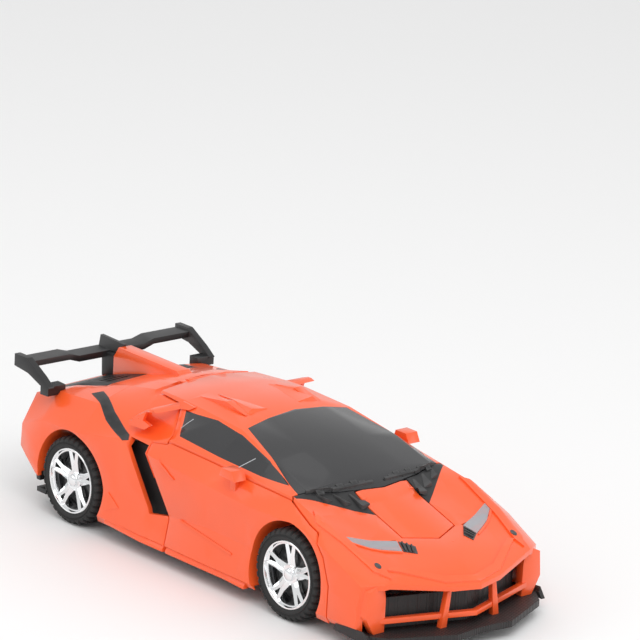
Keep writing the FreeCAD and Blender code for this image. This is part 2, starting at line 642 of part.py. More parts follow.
def rear_body(shell):
    half = shell.common(box(-60, 60, 13.0, 113, 0, 80))
    half = cut(half, both(arm_region(SEAM)), roof_region(SEAM))
    half = cut(half, both(wheel_arch(REAR_AXLE_Y, 25, 60)), prism_yz(TAIL_UNDERCUT, -60, 60),
               both(prism_yz(INTAKE_SIDE, 39.0, 60)), prism_xy(DECK_PLAN, 40, 80, 0.2),
               rod_x(ROOF_HINGE_Y, ROOF_HINGE_Z, ROOF_SWEEP_R, -30, 30))
    fin = prism_yz(FIN_SIDE, -FIN_HALF, FIN_HALF)
    spine = prism_yz([(53.0, 54.0), (53.0, 58.0), (64.0, 57.0), (64.0, 53.0)], -9, 9)
    ear_side = [(ROOF_HINGE_Y - 1.3, ROOF_HINGE_Z + 0.9), (ROOF_HINGE_Y + 1.3, ROOF_HINGE_Z + 0.9),
                (56.0, 58.0), (56.0, 55.0), (ROOF_HINGE_Y - 1.3, ROOF_HINGE_Z - 2.5)]
    ears = both(prism_yz(ear_side, 10.0, 13.0))
    pin = rod_x(ROOF_HINGE_Y, ROOF_HINGE_Z, 0.7 + FIT, -20, 20)
    arch_wall = ring_x(REAR_AXLE_Y, TYRE_R, ARCH_R + 1.6, ARCH_R, WHEEL_IN - 1.5, 50)
    arch_wall = arch_wall.common(envelope()).common(box(0, 60, 40, 98, 16, 80))
    return cut(fuse(half, fin, spine, ears, both(arch_wall)), pin)


def envelope(depth=0.0):
    """Filled body: the outside, or its offset this deep under the skin."""
    halves = {y: widen(SECTIONS[y]) for y in sorted(SECTIONS)}
    if depth:
        halves = {y: inset(half, depth) for y, half in halves.items()}
    return Part.makeLoft([section_wire(y, half) for y, half in halves.items()], True, True)


def rear_deck(shell):
    deck = shell.common(prism_xy(DECK_PLAN, 40, 80, 0.0))
    fin_slot = box(-FIN_HALF - 0.1, FIN_HALF + 0.1, 60, 104.1, 30, 80)
    post_slot = box(-3.1, 3.1, 103, 115, 30, 80)
    deck = cut(deck, fin_slot, post_slot, box(-60, 60, 60, 120, 30, 43.0))
    slots = [both(box(7, 19, y, y + 1.6, 40, 70)) for y in (88.0, 92.0, 96.0, 100.0)]
    return cut(deck, *slots)


BLADE_SIDE = [(TAIL_Y - 22.0, 50.2), (TAIL_Y - 17.0, 51.0), (TAIL_Y - 9.0, 54.0), (TAIL_Y, 55.0),
              (TAIL_Y, 60.0), (TAIL_Y - 8.0, 60.0), (TAIL_Y - 18.0, 54.5), (TAIL_Y - 23.0, 51.0)]
WING_BAR = [(-42.5, 56.2), (-22, 56.2), (-17, 54.6), (0, 54.6), (17, 54.6), (22, 56.2), (42.5, 56.2),
            (42.5, 58.6), (22, 58.6), (17, 57.2), (-17, 57.2), (-22, 58.6), (-42.5, 58.6)]


def rear_wing():
    bar = prism_xz(WING_BAR, TAIL_Y - 9.0, TAIL_Y - 0.5)
    blades = both(prism_yz(BLADE_SIDE, 40.6, 43.4))
    foot = both(prism_yz([(95.5, 47.6), (95.5, 51.4), (100.5, 51.6), (100.5, 47.4)], 34.5, 43.4))
    post = prism_yz([(104.2, 46.2), (104.2, 57.0), (112.0, 56.0), (111.5, 46.2)], -3.0, 3.0)
    fin = prism_yz([(105.0, 57.0), (100.5, 61.5), (116.0, 62.0), (117.0, 57.0)], -0.8, 0.8)
    wing = fuse(bar, blades, post, fin, foot)
    return cut(wing, envelope(), prism_yz(FIN_SIDE, -FIN_HALF - 0.1, FIN_HALF + 0.1, 0.1))


# ---- roof unit
SCREEN_PLAN = [(-34.5, -42.0), (-25.5, -6.5), (0, -4.5), (25.5, -6.5), (34.5, -42.0),
               (38.0, -60.0), (-38.0, -60.0)]
WINDOW_SIDE = [(-43.0, 47.9), (18.5, 51.3), (26.5, 58.2), (8.0, 59.0), (-8.0, 57.6), (-28.0, 53.0)]


def roof_unit(shell):
    return shell.common(roof_region())


def windscreen(shell):
    return roof_unit(shell).common(prism_xy(SCREEN_PLAN, 30, 80))


def side_windows(shell):
    right = roof_unit(shell).common(prism_yz(WINDOW_SIDE, 20, 60))
    right = right.cut(prism_xy(SCREEN_PLAN, 30, 80, 0.5))
    return Part.makeCompound(both(right))


def roof_shell(shell):
    roof = cut(roof_unit(shell), prism_xy(SCREEN_PLAN, 30, 80), both(prism_yz(WINDOW_SIDE, 20, 60)))
    knuckle = rod_x(ROOF_HINGE_Y, ROOF_HINGE_Z, ROOF_KNUCKLE_R, -9.7, 9.7)
    lug_side = [(43.0, 59.6), (43.0, 61.2), (ROOF_HINGE_Y, ROOF_HINGE_Z + 1.2), (ROOF_HINGE_Y, 59.2)]
    lug = prism_yz(lug_side, -9.7, 9.7)
    pin = rod_x(ROOF_HINGE_Y, ROOF_HINGE_Z, 0.7, -12.8, 12.8)
    bumps = both(prism_yz([(2.0, 61.0), (14.0, 63.6), (30.0, 61.5)], 15.5, 19.5))
    solids = sorted(fuse(roof, knuckle, lug, pin, bumps).Solids, key=lambda s: s.Volume)
    return solids[-1]


def roof_bracket():
    """Black lifting bracket screwed to the inside of the roof."""
    body = box(-12, 12, 23.0, 46.0, 54.0, 57.0)
    boss = both(rod_z(7.0, 30.0, 2.5, 56.5, 59.8))
    cheeks = both(prism_yz([(23.0, 51.0), (46.0, 52.5), (46.0, 55.0), (23.0, 55.0)], 10.0, 12.0))
    return fuse(body, boss, rod_z(0, 30.0, 2.2, 53.2, 54.2), cheeks)


# ---- bonnet unit
COWL_PLAN = [(-38.0, -40.0), (-38.0, -50.5), (-14, -69.0), (0, -76.0), (14, -69.0), (38.0, -50.5),
             (38.0, -40.0)]
LAMP_PLAN = [(17.0, -84.0), (31.0, -80.5), (33.0, -82.5), (18.0, -87.5)]
SPLITTER_PLAN = [(-44.5, -84), (-46.0, -97), (-39, -107), (-14, NOSE_Y), (0, NOSE_Y + 1.5), (14, NOSE_Y),
                 (39, -107), (46.0, -97), (44.5, -84), (38, -84), (30, -92), (-30, -92), (-38, -84)]
SPLITTER_Z = (4.4, 7.0)


def bonnet_unit(shell):
    nose = prism_xy(NOSE_PLAN + [(60, -40), (-60, -40)], 0, 90)
    front = shell.common(box(-60, 60, NOSE_Y, -44, 0, 80)).common(nose)
    return cut(front, both(arm_region(SEAM)), roof_region(SEAM))


def flap_region(grow=0.0):
    return prism_xy(FLAP_PLAN, 20, 80, grow)


def lamp_region(grow=0.0):
    return both(prism_xy(LAMP_PLAN, 20, 80, grow))


def bonnet(shell):
    skin = cut(bonnet_unit(shell), flap_region(SEAM / 2), prism_xy(COWL_PLAN, 20, 80), lamp_region())
    skin = cut(skin, both(box(30, 60, -120.0, -79.0, 5.0, SPLITTER_Z[1])))
    bar_plan = [(-38, -100.5), (0, -113.0), (38, -100.5), (38, -98.0), (0, -110.5), (-38, -98.0)]
    bar = prism_xy(bar_plan, 10.4, 12.4)
    pillar = [(35.5, SPLITTER_Z[1]), (41.0, SPLITTER_Z[1]), (45.0, 14.0), (44.0, 24.0), (37.0, 27.2),
              (35.5, 20.0)]
    pillars = both(prism_xz(pillar, -100.5, -97.0))
    strut = [(12.0, SPLITTER_Z[1]), (15.0, SPLITTER_Z[1]), (12.5, 21.0), (10.5, 21.0)]
    struts = both(prism_xz(strut, -109.5, -107.2))
    return fuse(skin, bar, pillars, struts)


def cowl(shell):
    band = cut(bonnet_unit(shell).common(prism_xy(COWL_PLAN, 20, 80)), flap_region(SEAM / 2))
    return Part.makeCompound(band.Solids)


def headlamps(shell):
    lenses = [bonnet_unit(shell).common(region) for region in lamp_region()]
    return Part.makeCompound(lenses)


GRILLE_PLAN = [(-34, -96.5), (0, -107.0), (34, -96.5), (34, -93.5), (0, -104.0), (-34, -93.5)]
GRILLE_TOP = 19.0


def splitter():
    """Black lip with side fins and the grille that stands on it."""
    plate = prism_xy(SPLITTER_PLAN, SPLITTER_Z[0], SPLITTER_Z[1])
    fin_side = [(-103.0, 5.0), (-98.0, 12.0), (-92.0, 20.0), (-88.5, 18.0), (-84.0, 5.0)]
    fins = [fin.cut(envelope()) for fin in both(prism_yz(fin_side, 44.2, 46.0))]
    return fuse(plate, fins, prism_xy(GRILLE_PLAN, SPLITTER_Z[1] - 0.5, GRILLE_TOP))


GUIDE_FRONT = -62.9
GUIDE_REAR = -51.2
GUIDE_Z = (26.2, 38.0)
CARRIAGE_EAR = (18.4, 21.4)


def bar_channels(side, clear):
    half = BAR_T / 2 + clear
    y = BAR_Y[side]
    return [box(-40, 40, y - half, y + half, z - half, z + half) for z in BAR_Z]


def carriage():
    """Black frame under the bonnet: guides for the arm bars, ears for the flap, pins to the figure."""
    block = box(-28, 28, GUIDE_FRONT, GUIDE_REAR, GUIDE_Z[0], GUIDE_Z[1])
    pocket_half = FLAP_HALF + 0.9
    flap_pocket = box(-pocket_half, pocket_half, -58.0, GUIDE_REAR + 1, GUIDE_Z[1] - 4.0, GUIDE_Z[1] + 1)
    block = cut(block, bar_channels(-1, 0.1), bar_channels(1, 0.1), flap_pocket)
    rail_side = [(GUIDE_FRONT + 0.5, 30.0), (GUIDE_FRONT + 0.5, 35.0), (-92.0, 24.0), (-96.8, 12.0),
                 (-96.8, SPLITTER_Z[1]), (-84.0, SPLITTER_Z[1]), (-84.0, 22.0)]
    rails = both(prism_yz(rail_side, *CARRIAGE_EAR))
    pins = both(rod_x(BRACKET_Y, BRACKET_Z, PIN_R, 13.6, CARRIAGE_EAR[1]))
    neck_guide = box(-6, 6, GUIDE_FRONT - NECK_PLATE, GUIDE_FRONT + 0.5, NECK_Z[0] + 2, GUIDE_Z[1])
    flap_ears = both(box(14.4, 16.0, -61.2, -58.4, GUIDE_Z[1] - 0.5, 40.6))
    flap_ears = [ear.cut(rod_x(FLAP_HINGE_Y, FLAP_HINGE_Z, 0.7 + FIT, -20, 20)) for ear in flap_ears]
    return fuse(block, rails, pins, neck_guide, flap_ears)


FLAP_HINGE_Y = -59.8
FLAP_HINGE_Z = 39.4


def bonnet_flap(shell):
    skin = bonnet_unit(shell).common(flap_region(-SEAM / 2))
    arms = both(box(11.0, 13.0, FLAP_HINGE_Y - 0.9, FLAP_HINGE_Y + 0.9,
                    FLAP_HINGE_Z - 0.9, FLAP_HINGE_Z + 4.4))
    pins = both(rod_x(FLAP_HINGE_Y, FLAP_HINGE_Z, 0.7, 11.5, 15.9))
    return fuse(skin, arms, pins)


# ---- head: rises through the flap's opening on a two-stage neck
HEAD_HALF = 10.5
HEAD_BACK = -73.4
HEAD_FRONT = -86.6
HEAD_Z = (13.2, 34.6)
STAGE_Y = GUIDE_FRONT - NECK_PLATE - CLEAR / 2
TONGUE_Y = STAGE_Y - NECK_PLATE - CLEAR / 2
TONGUE_T = 1.8
TONGUE_TOP = 31.8


def head_helmet():
    z0, z1 = HEAD_Z
    side = [(HEAD_FRONT + 1.5, z0), (HEAD_FRONT, z0 + 8), (HEAD_FRONT + 0.5, z0 + 16),
            (HEAD_FRONT + 4, z1 - 3.4), (HEAD_BACK - 1.5, z1), (HEAD_BACK, z1 - 4), (HEAD_BACK - 1, z0)]
    front = [(-7.5, z0), (-HEAD_HALF, z0 + 7), (-HEAD_HALF, z0 + 14), (-6, z1), (6, z1),
             (HEAD_HALF, z0 + 14), (HEAD_HALF, z0 + 7), (7.5, z0)]
    plan = [(-HEAD_HALF, HEAD_BACK), (-HEAD_HALF, HEAD_FRONT + 4), (-4.5, HEAD_FRONT), (4.5, HEAD_FRONT),
            (HEAD_HALF, HEAD_FRONT + 4), (HEAD_HALF, HEAD_BACK)]
    helmet = prism_yz(side, -30, 30).common(prism_xz(front, -120, 0)).common(prism_xy(plan, 0, 60))
    face_pocket = box(-5.0, 5.0, HEAD_FRONT - 5, HEAD_FRONT + 2.4, z0 + 2, z0 + 12)
    tongue = box(-4, 4, TONGUE_Y - TONGUE_T, TONGUE_Y, NECK_Z[0] - 1, TONGUE_TOP)
    link = box(-3, 3, HEAD_BACK - 3, TONGUE_Y - TONGUE_T + 0.5, NECK_Z[0] - 1, NECK_Z[0] + 4)
    return fuse(cut(helmet, face_pocket), tongue, link)


def head_mask():
    z0 = HEAD_Z[0]
    plate = box(-4.9, 4.9, HEAD_FRONT + 1.2, HEAD_FRONT + 2.4, z0 + 2.1, z0 + 11.9)
    brow = prism_xz([(-4.5, z0 + 11.5), (0, z0 + 7.0), (4.5, z0 + 11.5)], HEAD_FRONT + 0.4, HEAD_FRONT + 1.4)
    return fuse(plate, brow)


def neck_slide():
    return box(-5, 5, STAGE_Y - NECK_PLATE, STAGE_Y, NECK_Z[0] + 0.5, NECK_Z[1] + 0.5)


# ---- arms: door, front wheel housing and mirror, on two bars
MIRROR_Y = -21.0


def arm_panel(shell, side):
    skin = cut(shell.common(arm_region()), wheel_arch(FRONT_AXLE_Y, 25, 60))
    wall = ring_x(FRONT_AXLE_Y, TYRE_R, ARCH_R + HOUSING_WALL, ARCH_R, HOUSING_IN, 50)
    plate = rod_x(FRONT_AXLE_Y, TYRE_R, ARCH_R + HOUSING_WALL, HOUSING_IN, HOUSING_IN + HOUSING_WALL)
    housing = fuse(wall, plate).common(box(0, 60, -80.4, -30, 8, 60))
    rim_spots = ((43.4, -80.0), (43.4, -64.0), (39.6, -50.0))
    edge = [(y, skin_height(y, x) - 1.25 * WALL - CLEAR) for x, y in rim_spots]
    ends = [(-30.0, edge[-1][1]), (-30.0, 0.0)]
    below_edge = prism_yz([(-90.0, 0.0), (-90.0, edge[0][1] - 3)] + edge + ends, 0, 60)
    housing = fuse(housing.common(envelope(WALL + CLEAR)).common(below_edge),
                   housing.common(envelope()).common(arm_region()))
    axle = fuse(rod_x(FRONT_AXLE_Y, TYRE_R, 5.0, HOUSING_IN, WHEEL_IN - 1),
                rod_x(FRONT_AXLE_Y, TYRE_R, AXLE_R, HOUSING_IN, WHEEL_OUT - 5.0))
    stalk = box(42.4, 44.4, MIRROR_Y - 1.5, MIRROR_Y + 1.5, 41.0, 48.0)
    mirror_side = [(MIRROR_Y - 5, 46.6), (MIRROR_Y - 3, 50.4), (MIRROR_Y + 3, 50.4), (MIRROR_Y + 4, 47.2)]
    mirror = prism_yz(mirror_side, 42.0, 48.0)
    solid = fuse(skin, housing, axle, stalk, mirror)
    return solid if side > 0 else mirrored(solid)


def arm_bars(side):
    half = BAR_T / 2
    y = BAR_Y[side]
    bars = [box(-27.0, HOUSING_IN, y - half, y + half, z - half, z + half) for z in BAR_Z]
    bars = [bar if side > 0 else mirrored(bar) for bar in bars]
    return Part.makeCompound(bars)


# ---- figure
LEG_BACK = HINGE_Y + 4.0
SHIN_FRONT = HINGE_Y - 13.0
CHEST_TOP = 132.0
HIP_TOP = 101.0
HIP_BASE = 82.0
PIN_TOP_Z = HINGE_Z + LINK
LUG_X = (14.0, 17.8)
LUG_R = 3.2


def torso_frame():
    """Black legs, pelvis, hollow torso and the two lugs that carry the bonnet."""
    feet = both(rod_x(HINGE_Y, HINGE_Z, FOOT_R, SHIN_IN, SHIN_OUT).common(
        box(0, 60, HINGE_Y - 20, HINGE_Y, HINGE_Z - 20, HINGE_Z)))
    knuckles = both(rod_x(HINGE_Y, HINGE_Z, 5.0, SHIN_IN, SHIN_OUT + 1.5))
    legs = both(box(SHIN_IN + 1, SHIN_OUT - 1, HINGE_Y - 8, LEG_BACK, HINGE_Z, HIP_BASE + 2))
    pelvis = box(-HIP_HALF + 1, HIP_HALF - 1, HINGE_Y - 8, HINGE_Y + 3, HIP_BASE, HIP_TOP)
    wall_out = CHEST_HALF - 1
    side_walls = both(box(CHEST_HALF - 5.5, wall_out, HINGE_Y - 8, HINGE_Y - 0.5, HIP_TOP - 1, CHEST_TOP))
    front_wall = box(-wall_out, wall_out, HINGE_Y - 10, HINGE_Y - 7.5, HIP_TOP - 1, CHEST_TOP)
    lug = fuse(box(*LUG_X, HINGE_Y - LUG_R, HINGE_Y + LUG_R, CHEST_TOP - 3, PIN_TOP_Z),
               rod_x(HINGE_Y, PIN_TOP_Z, LUG_R, *LUG_X))
    lugs = both(lug.cut(rod_x(HINGE_Y, PIN_TOP_Z, PIN_R + FIT, -40, 40)))
    shoulders = both(box(13.0, wall_out, HINGE_Y - 10, HINGE_Y - 0.5, CHEST_TOP - 3, CHEST_TOP))
    solid = fuse(feet, knuckles, legs, pelvis, side_walls, front_wall, shoulders, lugs)
    return fold_down(solid.cut(rod_x(HINGE_Y, HINGE_Z, PIN_R, -50, 50)))


def hinge_shaft():
    return fold_down(rod_x(HINGE_Y, HINGE_Z, PIN_R, -36.0, 36.0))


CHEST_OUTLINE = [(-27, 126), (-25, 131.5), (25, 131.5), (27, 126), (15, 113), (13, 104), (7, 99), (-7, 99),
                 (-13, 104), (-15, 113)]
EMBLEM_OUTLINE = [(-14, 132.0), (14, 132.0), (12, 124), (0, 113), (-12, 124)]
BELT_OUTLINE = [(-28, 99.8), (-18, 98), (-16, 91), (-9, 93), (9, 93), (16, 91), (18, 98), (28, 99.8),
                (28, 88), (8, 79), (6, 74), (-6, 74), (-8, 79), (-28, 88)]


def on_front(outline, depth, back=0.0):
    y1 = HINGE_Y - 10.0 - back
    return prism_xz(outline, y1 - depth, y1)


def chest_plate():
    plate = on_front(CHEST_OUTLINE, 2.4)
    return fold_down(plate.cut(on_front(EMBLEM_OUTLINE, 5.0)))


def chest_emblem():
    plate_y = HINGE_Y - 10.0
    ridge = [(plate_y, 113.0), (plate_y, CHEST_TOP), (plate_y - 3.2, CHEST_TOP), (plate_y - 2.0, 115.0)]
    return prism_yz(ridge, -20, 20).common(on_front(EMBLEM_OUTLINE, 5.0))


def hip_belt():
    belt = on_front(BELT_OUTLINE, 4.4, -2.0)
    return fold_down(belt)


def figure_silver():
    """Faceted chest emblem, two ribbed thighs and the guard between them."""
    thigh = [(13.5, 70.0), (20.5, 68.5), (19.0, 84.0), (10.0, 85.0)]
    guard = [(-5.5, 74.0), (5.5, 74.0), (4.5, 65.0), (0, 63.0), (-4.5, 65.0)]
    y = HINGE_Y - 8.0
    solids = both(prism_xz(thigh, y - 3.0, y)) + [prism_xz(guard, y - 3.5, y)]
    belt = on_front(BELT_OUTLINE, 4.4, -2.0)
    return fold_down(Part.makeCompound([s.cut(belt) for s in solids] + [chest_emblem()]))


SHIN_OUTLINE = [(SHIN_IN, 40.5), (SHIN_OUT - 2, 40.5), (SHIN_OUT, 46.0), (SHIN_OUT, 68.0), (SHIN_IN, 66.0)]


def shin_armour():
    front = prism_xz(SHIN_OUTLINE, SHIN_FRONT, HINGE_Y - 8.0)
    knee = prism_xz([(SHIN_IN + 3, 56), (SHIN_OUT - 2, 56), (SHIN_OUT - 4, 62), (SHIN_IN + 5, 62)],
                    SHIN_FRONT - 1.0, SHIN_FRONT + 0.5)
    foot = rod_x(HINGE_Y, HINGE_Z, FOOT_R, 0, 60)
    return fold_down(Part.makeCompound(both(fuse(front, knee).cut(foot))))


def build():
    shell = body_shell()
    nodes = {
        "chassis": chassis(), "front_panel": front_panel(), "side_cheeks": side_cheeks(),
        "front_lamp": front_lamp(), "front_trim": front_trim(),
        "rear_body": rear_body(shell), "rear_deck": rear_deck(shell), "rear_wing": rear_wing(),
        "tail_panel": tail_panel(), "battery_door": battery_door(), "battery_cells": battery_cells(),
        "gearbox_plates": gearbox_plates(), "drive_motors": drive_motors(), "transform_motor": lift_motor(),
        "lift_cradle": lift_cradle(), "circuit_board": circuit_board(), "underglow_lamps": underglow_lamps(),
        "base_screws": base_screws(), "power_switch": power_switch(), "front_roller": front_roller(),
        "transform_gear": lift_gear(), "transform_motor_pinion": lift_motor_pinion(),
        "torso_frame": torso_frame(), "hinge_shaft": hinge_shaft(), "figure_gear": figure_gear(),
        "chest_plate": chest_plate(), "hip_belt": hip_belt(), "figure_silver": figure_silver(),
        "shin_armour": shin_armour(),
        "bonnet": bonnet(shell), "cowl": cowl(shell), "splitter": splitter(),
        "headlamps": headlamps(shell), "carriage": carriage(), "bonnet_flap": bonnet_flap(shell),
        "head_helmet": head_helmet(), "head_mask": head_mask(), "neck_slide": neck_slide(),
        "roof_shell": roof_shell(shell), "windscreen": windscreen(shell),
        "side_windows": side_windows(shell), "roof_bracket": roof_bracket(),
    }
    for name, side in (("right", -1), ("left", 1)):
        nodes[name + "_arm_panel"] = arm_panel(shell, side)
        nodes[name + "_arm_bars"] = arm_bars(side)
        nodes[name + "_front_tyre"] = tyre(side, FRONT_AXLE_Y)
        nodes[name + "_front_rim"] = rim(side, FRONT_AXLE_Y, AXLE_R + FIT)
        nodes[name + "_rear_tyre"] = tyre(side, REAR_AXLE_Y)
        nodes[name + "_rear_rim"] = rim(side, REAR_AXLE_Y, AXLE_R)
        nodes[name + "_axle_gear"] = axle_gear(side)
        nodes[name + "_compound_gear"] = compound_gear(side)
        nodes[name + "_motor_pinion"] = motor_pinion(side)
    return nodes


def main():
    os.makedirs("parts", exist_ok=True)
    for name, shape in build().items():
        shape.exportStep(os.path.join("parts", name + ".step"))


main()
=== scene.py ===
import bmesh
import bpy
import json
import math
from mathutils import Matrix, Vector
from mathutils.bvhtree import BVHTree


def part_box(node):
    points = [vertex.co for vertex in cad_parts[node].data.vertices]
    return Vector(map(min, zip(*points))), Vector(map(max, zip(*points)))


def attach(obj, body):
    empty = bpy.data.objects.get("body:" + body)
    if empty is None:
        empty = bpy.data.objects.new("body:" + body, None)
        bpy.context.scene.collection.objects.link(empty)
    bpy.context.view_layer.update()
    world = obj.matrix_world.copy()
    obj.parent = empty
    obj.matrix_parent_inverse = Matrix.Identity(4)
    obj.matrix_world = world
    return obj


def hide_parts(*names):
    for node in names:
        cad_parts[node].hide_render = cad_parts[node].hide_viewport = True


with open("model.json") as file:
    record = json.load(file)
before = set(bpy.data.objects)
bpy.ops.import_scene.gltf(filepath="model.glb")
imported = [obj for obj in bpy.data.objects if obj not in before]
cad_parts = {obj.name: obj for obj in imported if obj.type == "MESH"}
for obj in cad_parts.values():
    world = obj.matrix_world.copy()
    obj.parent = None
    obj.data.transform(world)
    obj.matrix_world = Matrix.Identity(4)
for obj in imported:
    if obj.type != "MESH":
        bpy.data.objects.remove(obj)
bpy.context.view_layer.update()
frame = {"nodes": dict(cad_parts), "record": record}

MM = 0.001
SIDES = {"right": -1, "left": 1}
record = frame["record"]
nodes = frame["nodes"]
node_body = {n: b for b, names in record["behaviour"]["bodies"].items() for n in names}
node_slot = {s["node"]: s["material_slot"] for s in record["subparts"]}


# ---- camera, floor and light
AZIMUTH = math.radians(-41.65)
ELEVATION = math.radians(18.47)
ROLL = math.radians(3.04)
DISTANCE = 1683.5 * MM
LENS = 239.7
SENSOR = 36.0
TARGET = Vector((0.0, 8.0, 23.7)) * MM
OFF_CENTRE = (-0.080, -0.272)    # place of the target in the picture, as a share of its width
CLIP_NEAR, CLIP_FAR = 0.05, 20.0
FLOOR_REACH = 4.0
LIGHTS = (("key", (-0.5, -0.7, 1.1), (0.9, 0.6), 5.5), ("fill", (-1.0, 0.5, 0.7), (0.8, 0.8), 1.5),
          ("front", (0.8, -1.0, 0.5), (0.7, 0.5), 1.5), ("top", (0.1, 0.2, 1.3), (1.0, 1.0), 1.5))


def add_camera():
    """Camera that looks at the target and then turns until the target lies off the middle of the picture."""
    back = Vector((math.sin(AZIMUTH) * math.cos(ELEVATION), -math.cos(AZIMUTH) * math.cos(ELEVATION),
                   math.sin(ELEVATION)))
    forward = -back
    right = forward.cross(Vector((0, 0, 1))).normalized()
    up = right.cross(forward)
    right, up = right * math.cos(ROLL) + up * math.sin(ROLL), up * math.cos(ROLL) - right * math.sin(ROLL)
    aim = Vector((OFF_CENTRE[0] * SENSOR, OFF_CENTRE[1] * SENSOR, LENS)).normalized()
    yaw = Matrix.Rotation(math.atan2(aim.x, aim.z), 3, up)
    right, forward = yaw @ right, yaw @ forward
    pitch = Matrix.Rotation(-math.asin(aim.y), 3, right)
    up, forward = pitch @ up, pitch @ forward
    data = bpy.data.cameras.new("camera")
    data.sensor_width = SENSOR
    data.lens = LENS
    data.clip_start, data.clip_end = CLIP_NEAR, CLIP_FAR
    camera = bpy.data.objects.new("camera", data)
    camera.matrix_world = Matrix.Translation(TARGET + back * DISTANCE) @ Matrix(
        (right, up, -forward)).transposed().to_4x4()
    bpy.context.scene.collection.objects.link(camera)
    bpy.context.scene.camera = camera


def add_light(name, place, size, power):
    data = bpy.data.lights.new(name, "AREA")
    data.shape, data.size, data.size_y = "RECTANGLE", size[0], size[1]
    data.energy = power
    light = bpy.data.objects.new(name, data)
    light.location = place
    light.rotation_euler = (TARGET - Vector(place)).to_track_quat("-Z", "Y").to_euler()
    bpy.context.scene.collection.objects.link(light)


def add_stage():
    mesh = bpy.data.meshes.new("floor")
    corners = [(x * FLOOR_REACH, y * FLOOR_REACH, 0) for x, y in ((-1, -1), (1, -1), (1, 1), (-1, 1))]
    mesh.from_pydata(corners, [], [(0, 1, 2, 3)])
    floor = bpy.data.objects.new("floor", mesh)
    bpy.context.scene.collection.objects.link(floor)
    paint = bpy.data.materials.new("floor_paint")
    paint.use_nodes = True
    shader = paint.node_tree.nodes["Principled BSDF"]
    shader.inputs["Base Color"].default_value = (0.9, 0.9, 0.9, 1)
    shader.inputs["Roughness"].default_value = 0.6
    mesh.materials.append(paint)
    world = bpy.data.worlds.new("studio")
    world.use_nodes = True
    world.node_tree.nodes["Background"].inputs[0].default_value = (1, 1, 1, 1)
    world.node_tree.nodes["Background"].inputs[1].default_value = 0.8
    bpy.context.scene.world = world
    bpy.context.scene.view_settings.view_transform = "Standard"
    for name, place, size, power in LIGHTS:
        add_light(name, place, size, power)


# ---- materials
PLASTIC_IOR = 1.45
COAT_ROUGH = 0.06
DRIFT_SCALE, SMEAR_SCALE = 28.0, 90.0
GRAIN_DEPTH, WEAVE_DEPTH = 0.0002, 0.0003
WEAVE_SCALE = 260.0


def finish_material(name, colour, rough, metallic=0.0, coat=0.0, grain=900.0, bump=0.05, vary=0.06, wear=0.0,
                    alpha=1.0, glow=0.0):
    """Moulded or painted surface: fine grain in the bump, slow drift in colour and gloss, light edge wear."""
    mat = bpy.data.materials.new(name)
    mat.use_nodes = True
    tree = mat.node_tree
    shader = tree.nodes["Principled BSDF"]
    shader.inputs["Metallic"].default_value = metallic
    shader.inputs["Coat Weight"].default_value = coat
    shader.inputs["Coat Roughness"].default_value = COAT_ROUGH
    shader.inputs["IOR"].default_value = PLASTIC_IOR
    place = tree.nodes.new("ShaderNodeTexCoord")

    def noise(scale, detail):
        node = tree.nodes.new("ShaderNodeTexNoise")
        node.inputs["Scale"].default_value = scale
        node.inputs["Detail"].default_value = detail
        tree.links.new(place.outputs["Object"], node.inputs["Vector"])
        return node

    drift = noise(DRIFT_SCALE, 4.0)
    tone = tree.nodes.new("ShaderNodeValToRGB")
    dark = [c * (1 - vary) for c in colour]
    light = [min(1.0, c * (1 + vary)) for c in colour]
    tone.color_ramp.elements[0].position, tone.color_ramp.elements[1].position = 0.35, 0.65
    tone.color_ramp.elements[0].color = (*dark, 1)
    tone.color_ramp.elements[1].color = (*light, 1)
    tree.links.new(drift.outputs["Fac"], tone.inputs["Fac"])
    base = tone.outputs["Color"]
    if wear:
        geometry = tree.nodes.new("ShaderNodeNewGeometry")
        edge = tree.nodes.new("ShaderNodeValToRGB")
        edge.color_ramp.elements[0].position, edge.color_ramp.elements[1].position = 0.54, 0.62
        edge.color_ramp.elements[0].color = (0, 0, 0, 1)
        edge.color_ramp.elements[1].color = (wear, wear, wear, 1)
        tree.links.new(geometry.outputs["Pointiness"], edge.inputs["Fac"])
        worn = tree.nodes.new("ShaderNodeMix")
        worn.data_type = "RGBA"
        worn.inputs["B"].default_value = (*[min(1.0, c * 1.5 + 0.06) for c in colour], 1)
        tree.links.new(edge.outputs["Color"], worn.inputs["Factor"])
        tree.links.new(base, worn.inputs["A"])
        base = worn.outputs["Result"]
    tree.links.new(base, shader.inputs["Base Color"])
    smear = noise(SMEAR_SCALE, 3.0)
    gloss = tree.nodes.new("ShaderNodeMapRange")
    gloss.inputs["To Min"].default_value = rough * 0.82
    gloss.inputs["To Max"].default_value = min(1.0, rough * 1.2)
    tree.links.new(smear.outputs["Fac"], gloss.inputs["Value"])
    tree.links.new(gloss.outputs["Result"], shader.inputs["Roughness"])
    if bump:
        fine = noise(grain, 2.0)
        relief = tree.nodes.new("ShaderNodeBump")
        relief.inputs["Strength"].default_value = bump
        relief.inputs["Distance"].default_value = GRAIN_DEPTH
        tree.links.new(fine.outputs["Fac"], relief.inputs["Height"])
        tree.links.new(relief.outputs["Normal"], shader.inputs["Normal"])
    if alpha < 1:
        shader.inputs["Transmission Weight"].default_value = 1 - alpha
    if glow:
        shader.inputs["Emission Color"].default_value = (*colour, 1)
        shader.inputs["Emission Strength"].default_value = glow
    return mat


